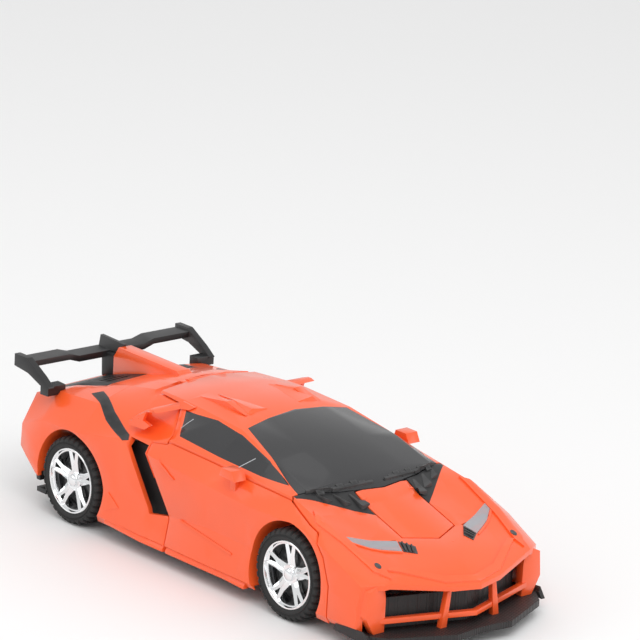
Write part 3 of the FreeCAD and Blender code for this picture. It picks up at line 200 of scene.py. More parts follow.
FINISHES = {
    "orange_body": finish_material("orange_body", (0.96, 0.112, 0.022), 0.3, coat=0.45, grain=500, bump=0.02,
                                   vary=0.03, wear=0.08),
    "black_plastic": finish_material("black_plastic", (0.017, 0.017, 0.018), 0.42, grain=1400, bump=0.16,
                                     wear=0.5),
    "dark_screen": finish_material("dark_screen", (0.022, 0.022, 0.024), 0.24, grain=700, bump=0.05, coat=0.3),
    "tyre_rubber": finish_material("tyre_rubber", (0.016, 0.016, 0.016), 0.72, grain=1800, bump=0.3, vary=0.15,
                                   wear=0.5),
    "chrome_rim": finish_material("chrome_rim", (0.88, 0.89, 0.9), 0.09, metallic=1.0, grain=400, bump=0.01,
                                  vary=0.02),
    "copper_armour": finish_material("copper_armour", (0.80, 0.20, 0.035), 0.3, metallic=0.55, coat=0.4,
                                     grain=2500, bump=0.12, vary=0.12, wear=0.5),
    "silver_trim": finish_material("silver_trim", (0.66, 0.67, 0.7), 0.28, metallic=0.9, grain=2500, bump=0.1,
                                   vary=0.06),
    "amber_lens": finish_material("amber_lens", (0.95, 0.25, 0.05), 0.15, alpha=0.6, bump=0.02),
    "lamp_lens": finish_material("lamp_lens", (0.6, 0.62, 0.66), 0.12, alpha=0.5, bump=0.02),
    "led_lens": finish_material("led_lens", (0.35, 0.5, 1.0), 0.15, alpha=0.6, glow=1.5),
    "helmet_black": finish_material("helmet_black", (0.015, 0.015, 0.017), 0.2, coat=0.5, bump=0.03, wear=0.6),
    "gear_plastic": finish_material("gear_plastic", (0.8, 0.78, 0.7), 0.4, grain=1200, bump=0.08),
    "motor_steel": finish_material("motor_steel", (0.58, 0.58, 0.6), 0.33, metallic=1.0, grain=2000, bump=0.08),
    "board_green": finish_material("board_green", (0.02, 0.16, 0.06), 0.35, grain=1500, bump=0.2, vary=0.25),
    "cell_jacket": finish_material("cell_jacket", (0.05, 0.09, 0.26), 0.3, coat=0.3, bump=0.03),
}


# ---- mesh helpers
WELD = 0.01                      # millimetres within which a CAD mesh's points are one
FLAT_ANGLE = 1.0                 # degrees under which two CAD faces are one
SKIN_BEVEL, SKIN_ANGLE = 0.35, 18.0
PIECE_ANGLE = 20.0


def link_piece(name, mesh, body, slot, smooth=30.0):
    """Object for a finished mesh, shaded, riding on its body and named in the record's slot."""
    piece = bpy.data.objects.new(name, mesh)
    bpy.context.scene.collection.objects.link(piece)
    mesh.materials.clear()
    mesh.materials.append(FINISHES[slot])
    mesh.shade_smooth()
    mesh.set_sharp_from_angle(angle=math.radians(smooth))
    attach(piece, body)
    return piece


def soften(grid, width, angle):
    """Bevel of the edges sharper than an angle."""
    edges = [e for e in grid.edges if len(e.link_faces) == 2 and e.calc_face_angle(0.0) > math.radians(angle)]
    bmesh.ops.bevel(grid, geom=edges, offset=width * MM, offset_type="OFFSET", segments=2, profile=0.5,
                    affect="EDGES", clamp_overlap=True)


def split_large_faces(grid):
    bmesh.ops.triangulate(grid, faces=[f for f in grid.faces if len(f.verts) > 4])


def bridge(grid, a, b):
    """Quads between two closed rings."""
    for i in range(len(a)):
        j = (i + 1) % len(a)
        grid.faces.new((a[i], a[j], b[j], b[i]))


def wrap(grid, rings):
    """Quads round a closed chain of rings."""
    for a, b in zip(rings, rings[1:] + rings[:1]):
        bridge(grid, a, b)


def restyled(node):
    """Copy of a CAD node's skin with merged faces and softened edges."""
    mesh = nodes[node].data.copy()
    grid = bmesh.new()
    grid.from_mesh(mesh)
    bmesh.ops.remove_doubles(grid, verts=grid.verts, dist=WELD * MM)
    bmesh.ops.dissolve_limit(grid, angle_limit=math.radians(FLAT_ANGLE), verts=grid.verts, edges=grid.edges)
    soften(grid, SKIN_BEVEL, SKIN_ANGLE)
    split_large_faces(grid)
    grid.to_mesh(mesh)
    grid.free()
    piece = link_piece(node + "_skin", mesh, node_body[node], node_slot[node])
    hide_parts(node)
    return piece


def paint_nodes():
    """The finish of its slot on every CAD node."""
    for name, node in nodes.items():
        node.data.materials.clear()
        node.data.materials.append(FINISHES[node_slot[name]])


def prism(name, outline, low, high, plane, body, slot, bevel=0.3, place=None):
    """Block with a drawn outline and softened edges; the plane names the two drawn axes."""
    order = {"yz": lambda a, b, h: (h, a, b), "xz": lambda a, b, h: (a, h, b)}[plane]
    grid = bmesh.new()
    rings = [[grid.verts.new(Vector(order(a, b, h)) * MM) for a, b in outline] for h in (low, high)]
    grid.faces.new(rings[0])
    grid.faces.new(list(reversed(rings[1])))
    for i in range(len(outline)):
        j = (i + 1) % len(outline)
        grid.faces.new((rings[0][j], rings[0][i], rings[1][i], rings[1][j]))
    return close_mesh(name, grid, body, slot, bevel, place)


def loft(name, rings, body, slot, bevel=0.0, place=None, smooth=30.0):
    """Skin over closed rings of points with flat ends."""
    grid = bmesh.new()
    loops = [[grid.verts.new(Vector(point) * MM) for point in ring] for ring in rings]
    for a, b in zip(loops, loops[1:]):
        bridge(grid, a, b)
    grid.faces.new(list(reversed(loops[0])))
    grid.faces.new(loops[-1])
    return close_mesh(name, grid, body, slot, bevel, place, smooth)


def close_mesh(name, grid, body, slot, bevel=0.0, place=None, smooth=30.0):
    """Piece from a drawn grid, with its edges softened and its points moved by place where they are given."""
    bmesh.ops.recalc_face_normals(grid, faces=grid.faces)
    if bevel:
        soften(grid, bevel, PIECE_ANGLE)
    if place:
        for vert in grid.verts:
            vert.co = place(vert.co)
    split_large_faces(grid)
    mesh = bpy.data.meshes.new(name)
    grid.to_mesh(mesh)
    grid.free()
    return link_piece(name, mesh, body, slot, smooth)


def tube(name, path, radii, body, slot, sides, place=None):
    """Round skin along a path, with one radius for each point."""
    rings = []
    for i, point in enumerate(path):
        ahead = (path[min(i + 1, len(path) - 1)] - path[max(i - 1, 0)]).normalized()
        across = ahead.cross(Vector((1, 0, 0) if abs(ahead.x) < 0.8 else (0, 0, 1))).normalized()
        upward = ahead.cross(across)
        turn = [2 * math.pi * k / sides for k in range(sides)]
        rings.append([point + (across * math.cos(t) + upward * math.sin(t)) * radii[i] for t in turn])
    return loft(name, rings, body, slot, 0.0, place, 40.0)


class Skin:
    """Surface of some CAD nodes at rest, to lay details on."""

    # from each side: the place a look starts from, in millimetres, and the way it goes
    LOOKS = {
        "top": (lambda a, b: Vector((a, b, 150)), Vector((0, 0, -1))),
        "front": (lambda a, b: Vector((a, -200, b)), Vector((0, 1, 0))),
        "back": (lambda a, b: Vector((a, 200, b)), Vector((0, -1, 0))),
        "right": (lambda a, b: Vector((-150, a, b)), Vector((1, 0, 0))),
        "left": (lambda a, b: Vector((150, a, b)), Vector((-1, 0, 0))),
        "below": (lambda a, b: Vector((a, b, -50)), Vector((0, 0, 1))),
    }

    def __init__(self, *names):
        points, faces = [], []
        for name in names:
            mesh = nodes[name].data
            faces += [tuple(len(points) + v for v in poly.vertices) for poly in mesh.polygons]
            points += [v.co.copy() for v in mesh.vertices]
        self.tree = BVHTree.FromPolygons(points, faces)

    def drop(self, look, a, b):
        """Point of the skin, in millimetres, under a drawn position, and the way it is looked at.

        Where the look misses the skin, the point is level with the nearest of it."""
        place, way = self.LOOKS[look]
        start = place(a, b)
        hit = self.tree.ray_cast(start * MM, way)[0]
        if hit is None:
            near = self.tree.find_nearest((start + way * 100) * MM)[0]
            flat = (start * MM - near).dot(way)
            hit = start * MM - way * flat
        return hit / MM, way

    def patch(self, name, outline, look, lift, thick, body, slot, step=2.0):
        """Panel with a drawn outline that follows the skin, lifted off it by a little."""
        grid = bmesh.new()
        grid.faces.new([grid.verts.new((a, b, 0)) for a, b in outline])
        for axis in (0, 1):
            low = min(p[axis] for p in outline)
            high = max(p[axis] for p in outline)
            cuts = int((high - low) / step)
            for k in range(1, cuts + 1):
                at = Vector((0, 0, 0))
                at[axis] = low + (high - low) * k / (cuts + 1)
                way = Vector((0, 0, 0))
                way[axis] = 1
                whole = grid.verts[:] + grid.edges[:] + grid.faces[:]
                bmesh.ops.bisect_plane(grid, geom=whole, plane_co=at, plane_no=way)
        split_large_faces(grid)
        outer = {}
        for vert in grid.verts[:]:
            hit, way = self.drop(look, vert.co.x, vert.co.y)
            outer[vert] = ((hit - way * lift) * MM, (hit - way * (lift - thick)) * MM)
        under = {vert: grid.verts.new(low) for vert, (high, low) in outer.items()}
        for face in grid.faces[:]:
            grid.faces.new([under[v] for v in reversed(face.verts)])
        border = [e for e in grid.edges if len(e.link_faces) == 1 and all(v in outer for v in e.verts)]
        for edge in border:
            a, b = edge.verts
            grid.faces.new((a, b, under[b], under[a]))
        for vert, (high, low) in outer.items():
            vert.co = high
        return close_mesh(name, grid, body, slot, smooth=35.0)

    def strip(self, name, points, width, look, lift, thick, body, slot):
        """Narrow band along drawn points on the skin."""
        left, right = [], []
        for i, (a, b) in enumerate(points):
            before, after = points[max(i - 1, 0)], points[min(i + 1, len(points) - 1)]
            da, db = after[0] - before[0], after[1] - before[1]
            run = math.hypot(da, db)
            half = width / 2
            left.append((a - db / run * half, b + da / run * half))
            right.append((a + db / run * half, b - da / run * half))
        return self.patch(name, left + right[::-1], look, lift, thick, body, slot, 1.5)

    def ridge(self, name, stations, body, slot):
        """Blade on top of the skin; a station is its x, its y and its profile of points across and up."""
        rings = [[self.drop("top", x + across, y)[0] + Vector((0, 0, lift)) for across, lift in profile]
                 for x, y, profile in stations]
        return loft(name, rings, body, slot)


def mirrored(points):
    return [(-a, b) for a, b in reversed(points)]


def on_side(points, side):
    """Outline drawn for the left side, mirrored for the right."""
    return points if side > 0 else mirrored(points)


def weave_material(name, colour):
    """Black moulding with a fine two-way weave in relief."""
    mat = finish_material(name, colour, 0.45, bump=0)
    tree = mat.node_tree
    place = next(n for n in tree.nodes if n.type == "TEX_COORD")
    waves = []
    for direction in ("X", "Y"):
        wave = tree.nodes.new("ShaderNodeTexWave")
        wave.bands_direction = direction
        wave.inputs["Scale"].default_value = WEAVE_SCALE
        tree.links.new(place.outputs["Object"], wave.inputs["Vector"])
        waves.append(wave)
    mix = tree.nodes.new("ShaderNodeMath")
    mix.operation = "MULTIPLY"
    tree.links.new(waves[0].outputs["Fac"], mix.inputs[0])
    tree.links.new(waves[1].outputs["Fac"], mix.inputs[1])
    relief = tree.nodes.new("ShaderNodeBump")
    relief.inputs["Strength"].default_value = 0.7
    relief.inputs["Distance"].default_value = WEAVE_DEPTH
    tree.links.new(mix.outputs[0], relief.inputs["Height"])
    tree.links.new(relief.outputs["Normal"], tree.nodes["Principled BSDF"].inputs["Normal"])
    return mat


# ---- wheels
TYRE_R = 18.0
TREAD_BLOCKS = 34
STEPS_PER_BLOCK = 6
GROOVE = 0.3                     # share of a block's pitch that is groove
SHOULDER, CROWN = 1, 2           # zones of the tread; 0 is the smooth wall
GROOVE_DEPTH = {SHOULDER: 0.65, CROWN: 0.5}
CROWN_SLANT = 0.16               # pitches that a crown groove leans for each millimetre off the middle
TYRE_MIDDLE = 7.0
RIM_TURNS = 72
SPOKES = 5


def wheel_place(node):
    """Middle, outward side and outer face of a part of a wheel, in millimetres."""
    low, high = [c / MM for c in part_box(node)]
    middle = (low + high) / 2
    side = 1 if middle.x > 0 else -1
    return middle, side, high.x if side > 0 else low.x


def tyre(corner):
    """Rubber tyre with chunky shoulder blocks and slanted crown grooves."""
    node = corner + "_tyre"
    middle, side, face = wheel_place(node)
    # depth from the outer face, radius, zone
    profile = [(0.9, 13.4, 0), (0.3, 13.9, 0), (0.0, 15.0, 0), (0.25, 15.2, 0), (0.25, 15.7, 0), (0.0, 15.9, 0),
               (0.25, 16.9, SHOULDER), (1.0, 17.6, SHOULDER), (2.2, TYRE_R, SHOULDER), (3.6, TYRE_R, SHOULDER),
               (4.1, TYRE_R, CROWN), (7.0, TYRE_R, CROWN), (9.9, TYRE_R, CROWN),
               (10.4, TYRE_R, SHOULDER), (11.8, TYRE_R, SHOULDER), (13.0, 17.6, SHOULDER), (13.75, 16.9, SHOULDER),
               (14.0, 15.4, 0), (13.4, 13.4, 0)]
    steps = TREAD_BLOCKS * STEPS_PER_BLOCK
    rings = []
    for k in range(steps):
        ring = []
        for depth, radius, zone in profile:
            slant = 0.0 if zone == SHOULDER else abs(depth - TYRE_MIDDLE) * CROWN_SLANT
            phase = (k / STEPS_PER_BLOCK + slant) % 1.0
            if zone in GROOVE_DEPTH and phase < GROOVE:
                radius -= GROOVE_DEPTH[zone]
            turn = 2 * math.pi * k / steps
            ring.append((face - side * depth, middle.y + radius * math.cos(turn),
                         middle.z + radius * math.sin(turn)))
        rings.append(ring)
    grid = bmesh.new()
    wrap(grid, [[grid.verts.new(Vector(p) * MM) for p in ring] for ring in rings])
    piece = close_mesh(node + "_tread", grid, node_body[node], "tyre_rubber", smooth=24.0)
    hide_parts(node)


def rim(corner):
    """Plated wheel: stepped lip, dish, five split spokes and a domed cap, with a black plate behind them that
    paints the shade of the wheel arch seen through the spokes.
    """
    node = corner + "_rim"
    middle, side, face = wheel_place(node)
    grid = bmesh.new()

    def at(depth, radius, turn):
        return Vector((face - side * depth, middle.y + radius * math.cos(turn),
                       middle.z + radius * math.sin(turn))) * MM

    lip = [(1.4, 13.45), (0.2, 13.45), (0.0, 13.2), (0.1, 12.7), (0.9, 12.4), (1.1, 11.9), (2.2, 11.5),
           (9.0, 11.2), (9.0, 12.2), (12.4, 12.9), (12.4, 13.45)]
    turns = [2 * math.pi * k / RIM_TURNS for k in range(RIM_TURNS)]
    wrap(grid, [[grid.verts.new(at(d, r, t)) for d, r in lip] for t in turns])
    stations = [(1.6, 2.6, 10.0, 2.0), (4.2, 2.0, 10.5, 1.7), (8.0, 1.4, 14.5, 1.15), (12.2, 1.0, 17.5, 0.9)]
    for spoke in range(SPOKES):
        centre = math.radians(90 + 360 / SPOKES * spoke)
        for hand in (-1, 1):
            rings = []
            for radius, depth, spread, half in stations:
                turn = centre + hand * math.radians(spread * (0.55 if radius > 7 else 1.0))
                across = Vector((0, -math.sin(turn), math.cos(turn)))
                outward = Vector((-side, 0, 0))
                base = at(depth, radius, turn)
                rings.append([grid.verts.new(base + across * MM * a + outward * MM * d) for a, d in
                              ((-half, 1.8), (-half, 0.35), (0.0, -0.55), (half, 0.35), (half, 1.8))])
            for a, b in zip(rings, rings[1:]):
                bridge(grid, a, b)
            grid.faces.new(rings[0])
            grid.faces.new(list(reversed(rings[-1])))
    hub = [(4.0, 4.4), (1.9, 4.2), (1.5, 3.7), (1.7, 2.6), (0.9, 2.3), (0.6, 1.8), (0.35, 1.0), (0.3, 0.01)]
    loops = [[grid.verts.new(at(d, r, t)) for d, r in hub] for t in turns[::3]]
    for a, b in zip(loops, loops[1:] + loops[:1]):
        for j in range(len(a) - 1):
            grid.faces.new((a[j], a[j + 1], b[j + 1], b[j]))
    grid.faces.new([loop[0] for loop in loops])
    bmesh.ops.remove_doubles(grid, verts=grid.verts, dist=0.002 * MM)
    piece = close_mesh(node + "_plated", grid, node_body[node], "chrome_rim", smooth=25.0)
    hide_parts(node)
    # black plate behind the spokes is painted shade: it stands where the shaded inside of the wheel arch shows
    # through
    arch_shade_plate = bmesh.new()
    section = [(4.2, 2.0), (4.2, 8.6), (5.6, 8.8), (5.6, 11.15), (6.6, 11.15), (6.6, 2.0)]
    wrap(arch_shade_plate, [[arch_shade_plate.verts.new(at(d, r, t)) for d, r in section] for t in turns[::2]])
    close_mesh(node + "_back", arch_shade_plate, node_body[node], "black_plastic")


# ---- cabin and bonnet details
def window_details():
    """Bright lines on the side windows and the hooked pillar round their rear end."""
    skin = Skin("side_windows", "roof_shell")
    for word, side in SIDES.items():
        for number, line in enumerate((((19.0, 57.0), (21.4, 53.4)), ((-21.5, 52.6), (-17.6, 48.6)))):
            skin.strip(f"{word}_window_line_{number}", line, 0.35, word, 0.12, 0.25, "roof", "silver_trim")
        top = [(22.5, 60.2), (31.0, 60.4), (46.0, 53.5), (46.0, 51.5), (36.0, 57.0), (29.0, 58.2), (24.5, 58.8)]
        skin.patch(f"{word}_pillar_hook", top, word, 0.9, 1.4, "roof", "orange_body")
        foot = [(46.0, 51.5), (46.0, 49.2), (36.5, 49.6), (33.0, 52.0), (37.5, 53.2), (36.0, 57.0)]
        skin.patch(f"{word}_pillar_foot", foot, word, 0.9, 1.4, "roof", "orange_body")


def wiper_details():
    """Rows of teeth and the wiper arms along the foot of the windscreen."""
    skin = Skin("windscreen", "cowl", "bonnet_flap", "bonnet")
    for word, side in SIDES.items():
        for number in range(7):
            a = side * (6.0 + 3.4 * number)
            b = -53.2 + 0.25 * number + 0.9 * (number % 2)
            width = side * 3.0
            tooth = [(a, b), (a + width, b + 0.35), (a + width, b - 1.5), (a, b - 1.9)][::side]
            skin.patch(f"{word}_wiper_tooth_{number}", tooth, "top", 0.55, 1.1, "roof", "black_plastic", 1.2)
        arm = [(side * 3.0, -54.8), (side * 20.0, -53.4), (side * 33.0, -50.0)]
        skin.strip(f"{word}_wiper_arm", arm, 0.9, "top", 0.9, 1.4, "roof", "black_plastic")


def cowl_louvres():
    """Three raised black blades each side of the flap, sweeping out and forward."""
    skin = Skin("cowl", "bonnet")
    louvres = ((16.5, -56.5, 15.0, -64.5, 4.2), (23.0, -54.5, 20.5, -61.0, 4.0), (29.5, -52.6, 27.0, -57.4, 3.4))
    for word, side in SIDES.items():
        for number, (x0, y0, x1, y1, wide) in enumerate(louvres):
            stations = []
            for k in range(5):
                t = k / 4
                half = wide / 2 * (0.25 + 0.75 * t)
                high = 0.3 + 1.3 * t
                profile = ((-half, -0.6), (-half, 0.1), (half * 0.8 * side, high), (half, 0.05), (half, -0.6))
                stations.append((side * (x0 + (x1 - x0) * t), y0 + (y1 - y0) * t, profile))
            skin.ridge(f"{word}_cowl_louvre_{number}", stations, "bonnet", "black_plastic")


def headlamps():
    """Dark tray, clear wedge and slatted lamp box on each side."""
    skin = Skin("bonnet", "headlamps")
    lens = [(19.2, -90.6), (17.2, -85.0), (26.0, -81.0), (37.0, -76.2), (36.4, -79.4), (30.0, -84.6)]
    tray = [(12.4, -90.4), (16.8, -85.4), (18.8, -90.8), (14.4, -94.0)]
    for word, side in SIDES.items():
        piece = skin.patch(f"{word}_lamp_lens", on_side(lens, side), "top", 0.3, 0.6, "bonnet", "lamp_lens")
        if side > 0:
            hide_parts("headlamps")
        skin.patch(f"{word}_lamp_tray", on_side(tray, side), "top", 0.35, 0.8, "bonnet", "helmet_black")
        for number in range(3):
            t = 0.2 + 0.3 * number
            line = [(side * (12.8 + 4.0 * t), -90.2 + 4.6 * t), (side * (14.8 + 3.8 * t), -93.4 + 2.9 * t)]
            skin.strip(f"{word}_lamp_slat_{number}", line, 0.6, "top", 0.9, 0.7, "bonnet", "black_plastic")
        rim_line = [(side * a, b) for a, b in ((19.6, -91.2), (30.4, -85.2), (36.8, -79.8))]
        skin.strip(f"{word}_lamp_sill", rim_line, 0.7, "top", 0.45, 1.0, "bonnet", "orange_body")


def bonnet_creases():
    """Raised blades on the wings of the nose, the lip over the grille, and black patches painted as the shade
    inside the tow holes.
    """
    skin = Skin("bonnet", "bonnet_flap", "headlamps")
    crease = [(37.5, -60.0), (41.6, -66.0), (38.2, -96.0), (34.2, -101.5), (33.0, -97.5), (35.6, -84.0)]
    turns = [2 * math.pi * k / 16 for k in range(16)]
    for word, side in SIDES.items():
        skin.patch(f"{word}_wing_crease", on_side(crease, side), "top", 0.7, 1.6, "bonnet", "orange_body")
        # black patch painted as the shade inside the tow hole
        ring = [(side * 35.0 + 1.15 * math.cos(t), -94.5 + 1.5 * math.sin(t)) for t in turns]
        skin.patch(f"{word}_tow_hole_painted_shade", ring, "top", 0.95, 0.5, "bonnet", "helmet_black", 0.8)
    lip = [(-33.0, -97.0), (-14.0, -109.8), (0.0, -113.4), (14.0, -109.8), (33.0, -97.0), (30.0, -96.2),
           (12.5, -107.2), (0.0, -110.6), (-12.5, -107.2), (-30.0, -96.2)]
    skin.patch("nose_lip", lip, "top", 0.6, 1.4, "bonnet", "orange_body")


def side_skirts():
    """Blades along the sills, the scoop and dark strip by the rear wheel, and the door's crease and flash."""
    blade = [(44.6, 5.6), (47.4, 6.2), (47.4, 7.4), (45.6, 9.6), (44.6, 9.6)]
    strip = [(29.5, 77.5), (37.5, 60.0), (42.4, 44.5), (44.4, 42.5), (45.6, 45.0), (41.2, 61.0), (33.0, 80.5)]
    scoop = [(45.0, 15.5), (53.0, 12.5), (52.0, 20.0)]
    crease = [(9.0, 20.5), (-24.0, 16.8)]
    flash = [(22.0, 42.5), (12.0, 36.5), (21.0, 39.6)]
    rear = Skin("rear_body", "rear_deck")
    for word, side in SIDES.items():
        rows = []
        for y, drop in ((13.8, 0.0), (6.0, 0.0), (-22.0, 0.0), (-33.5, 0.6)):
            rows.append([(side * x, y, z - drop if z > 6 else z) for x, z in blade])
        loft(f"{word}_door_skirt", rows, f"{word}_arm", "orange_body", 0.25)
        rows = [[(side * x, y, z + rise) for x, z in blade] for y, rise in ((15.6, 0.0), (30.0, 0.0), (52.0, 1.2))]
        loft(f"{word}_rear_skirt", rows, "base", "orange_body", 0.25)
        rear.patch(f"{word}_deck_strip", on_side(strip, side), "top", 0.25, 1.0, "base", "black_plastic")
        rear.patch(f"{word}_wheel_scoop", scoop, word, 0.35, 0.8, "base", "orange_body")
        door = Skin(f"{word}_arm_panel")
        door.strip(f"{word}_door_crease", crease, 0.9, word, 0.4, 0.9, f"{word}_arm", "orange_body")
        door.patch(f"{word}_door_flash", flash, word, 0.5, 1.0, f"{word}_arm", "orange_body")


def roof_bumps():
    """Wedge on each side of the roof, rising forward to a step over the windscreen."""
    skin = Skin("roof_shell", "windscreen")
    for word, side in SIDES.items():
        stations = []
        for y, half, high in ((26.0, 0.4, 0.1), (14.0, 2.6, 0.9), (3.0, 4.6, 1.6), (2.0, 4.7, 0.05)):
            profile = ((-half, -0.8), (-half, 0.05), (side * half * 0.6, high), (half, 0.05), (half, -0.8))
            stations.append((side * 13.0, y, profile))
        skin.ridge(f"{word}_roof_bump", stations, "roof", "orange_body")


# ---- figure, drawn standing with its front plates on the plane y = 0
transform = next(joint for joint in record["behaviour"]["joints"] if joint["name"] == "transform")
HINGE = Vector(transform["pos_m"])
FOLD = math.radians(transform["range_deg"][1])


def folded(point):
    """Place, with the figure folded down, of a point drawn with it standing."""
    return HINGE + Matrix.Rotation(FOLD, 3, "X") @ (point - HINGE)


def inset_outline(points, depth):
    """Outline moved inwards by a depth, corner by corner."""
    area = sum(a[0] * b[1] - b[0] * a[1] for a, b in zip(points, points[1:] + points[:1]))
    hand = 1 if area > 0 else -1
    moved = []
    for i, here in enumerate(points):
        before, after = points[i - 1], points[(i + 1) % len(points)]
        normals = []
        for a, b in ((before, here), (here, after)):
            run = math.hypot(b[0] - a[0], b[1] - a[1])
            normals.append((-(b[1] - a[1]) / run * hand, (b[0] - a[0]) / run * hand))
        sx, sy = normals[0][0] + normals[1][0], normals[0][1] + normals[1][1]
        reach = depth * min(2.0 / (sx * sx + sy * sy), 1.2)
        moved.append((here[0] + sx * reach, here[1] + sy * reach))
    return moved


def edging(name, outline, width, front, proud, slot):
    """Raised rim round a plate on the figure."""
    inner = inset_outline(outline, width)
    middle = inset_outline(outline, width * 0.4)
    grid = bmesh.new()
    loops = ((outline, front + 0.3), (outline, front - proud * 0.4), (middle, front - proud),
             (inner, front + 0.05))
    rings = [[grid.verts.new(Vector((x, y, z)) * MM) for x, z in loop] for loop, y in loops]
    wrap(grid, rings)
    close_mesh(name, grid, "figure", slot, place=folded)


CHEST = [(-27, 126), (-25, 131.5), (25, 131.5), (27, 126), (15, 113), (13, 104), (7, 99), (-7, 99), (-13, 104),
         (-15, 113)]
BELT = [(-28, 99.8), (-18, 98), (-16, 91), (-9, 93), (9, 93), (16, 91), (18, 98), (28, 99.8), (28, 88), (8, 79),
        (6, 74), (-6, 74), (-8, 79), (-28, 88)]
PLATE_Y = -2.4


def on_figure(name, outline, back, front, slot, bevel=0.4):
    """Plate on the front of the figure."""
    prism(name, outline, front, back, "xz", "figure", slot, bevel, folded)


def chest_armour():
    """Rim, ribs and breast plates of the chest, with the silver emblem between them."""
    edging("chest_edge", CHEST, 1.2, PLATE_Y, 0.6, "silver_trim")
    on_figure("chest_rib_upper", [(-11.6, 109.2), (0, 107.6), (11.6, 109.2), (11.9, 112.0), (0, 110.6),
                                  (-11.9, 112.0)], PLATE_Y + 0.2, PLATE_Y - 0.7, "copper_armour")
    on_figure("chest_rib_lower", [(-6.2, 101.0), (6.2, 101.0), (11.0, 105.0), (11.2, 107.6), (0, 105.8),
                                  (-11.2, 107.6), (-11.0, 105.0)], PLATE_Y + 0.2, PLATE_Y - 0.7, "copper_armour")
    for word, side in SIDES.items():
        breast = [(15.6, 129.6), (24.2, 129.6), (25.0, 126.6), (16.0, 117.0), (13.6, 120.0)]
        wing = [(0.7, 114.6), (11.4, 124.4), (13.6, 131.6), (8.8, 128.6), (0.7, 121.8)]
        inner = [(0.7, 123.2), (8.0, 129.6), (9.6, 131.8), (0.7, 131.8)]
        for part, outline, back, front, slot in (("breast", breast, PLATE_Y + 0.2, PLATE_Y - 0.9, "copper_armour"),
                                                 ("emblem_wing", wing, -2.8, -4.0, "silver_trim"),
                                                 ("emblem_heart", inner, -2.8, -3.6, "silver_trim")):
            on_figure(f"{word}_{part}", on_side(outline, side), back, front, slot, 0.45)


def hip_armour():
    """Rim, guard, buckle and plates of the hip belt, and the ribs of the thighs."""
    edging("belt_edge", BELT, 1.1, PLATE_Y, 0.6, "silver_trim")
    guard = [(-5.2, 78.5), (5.2, 78.5), (4.8, 66.5), (0, 63.6), (-4.8, 66.5)]
    on_figure("guard_plate", guard, -1.2, -3.6, "silver_trim", 0.6)
    on_figure("guard_inlay", inset_outline(guard, 1.5), -3.4, -4.0, "black_plastic", 0.2)
    on_figure("belt_buckle", [(-6.5, 91.0), (6.5, 91.0), (4.6, 82.0), (0, 80.0), (-4.6, 82.0)], PLATE_Y + 0.2,
              PLATE_Y - 1.1, "copper_armour", 0.5)
    for word, side in SIDES.items():
        plate = [(9.2, 90.6), (15.2, 88.6), (26.0, 95.6), (26.0, 89.4), (9.4, 81.6)]
        on_figure(f"{word}_hip_plate", on_side(plate, side), PLATE_Y + 0.2, PLATE_Y - 0.9, "copper_armour", 0.5)
        for number in range(6):
            z = 70.4 + 2.35 * number
            x = side * (16.6 - 0.36 * number)
            path = [Vector((x + side * dx, -0.9 - lift, z - 0.28 * dx)) for dx, lift in
                    ((-3.9, 0.0), (-2.2, 0.9), (0.0, 1.3), (2.2, 0.9), (3.6, 0.0))]
            tube(f"{word}_thigh_rib_{number}", path, [0.75, 0.95, 1.0, 0.95, 0.75], "figure", "silver_trim", 10,
                 folded)


def shin_bands():
    """Bands, outer edge and knee tab of the shins."""
    for word, side in SIDES.items():
        for number, (low, high) in enumerate(((41.0, 46.6), (47.2, 53.2), (53.8, 59.8), (60.4, 65.8))):
            inner, outer = 15.4, 28.9 if number else 27.2
            band = [(inner, low), (outer, low + 0.4), (outer, high), (inner, high - 0.5)]
            on_figure(f"{word}_shin_band_{number}", on_side(band, side), -2.6, -3.9, "copper_armour", 0.6)
        edge = [(28.6, 46.0), (29.5, 46.4), (29.5, 67.6), (28.6, 67.0)]
        on_figure(f"{word}_shin_edge", on_side(edge, side), 0.0, -3.6, "silver_trim", 0.25)
        knee = [(18.4, 56.4), (27.2, 56.4), (25.4, 62.6), (20.2, 62.6)]
        on_figure(f"{word}_knee_tab", on_side(knee, side), -3.6, -4.6, "copper_armour", 0.4)


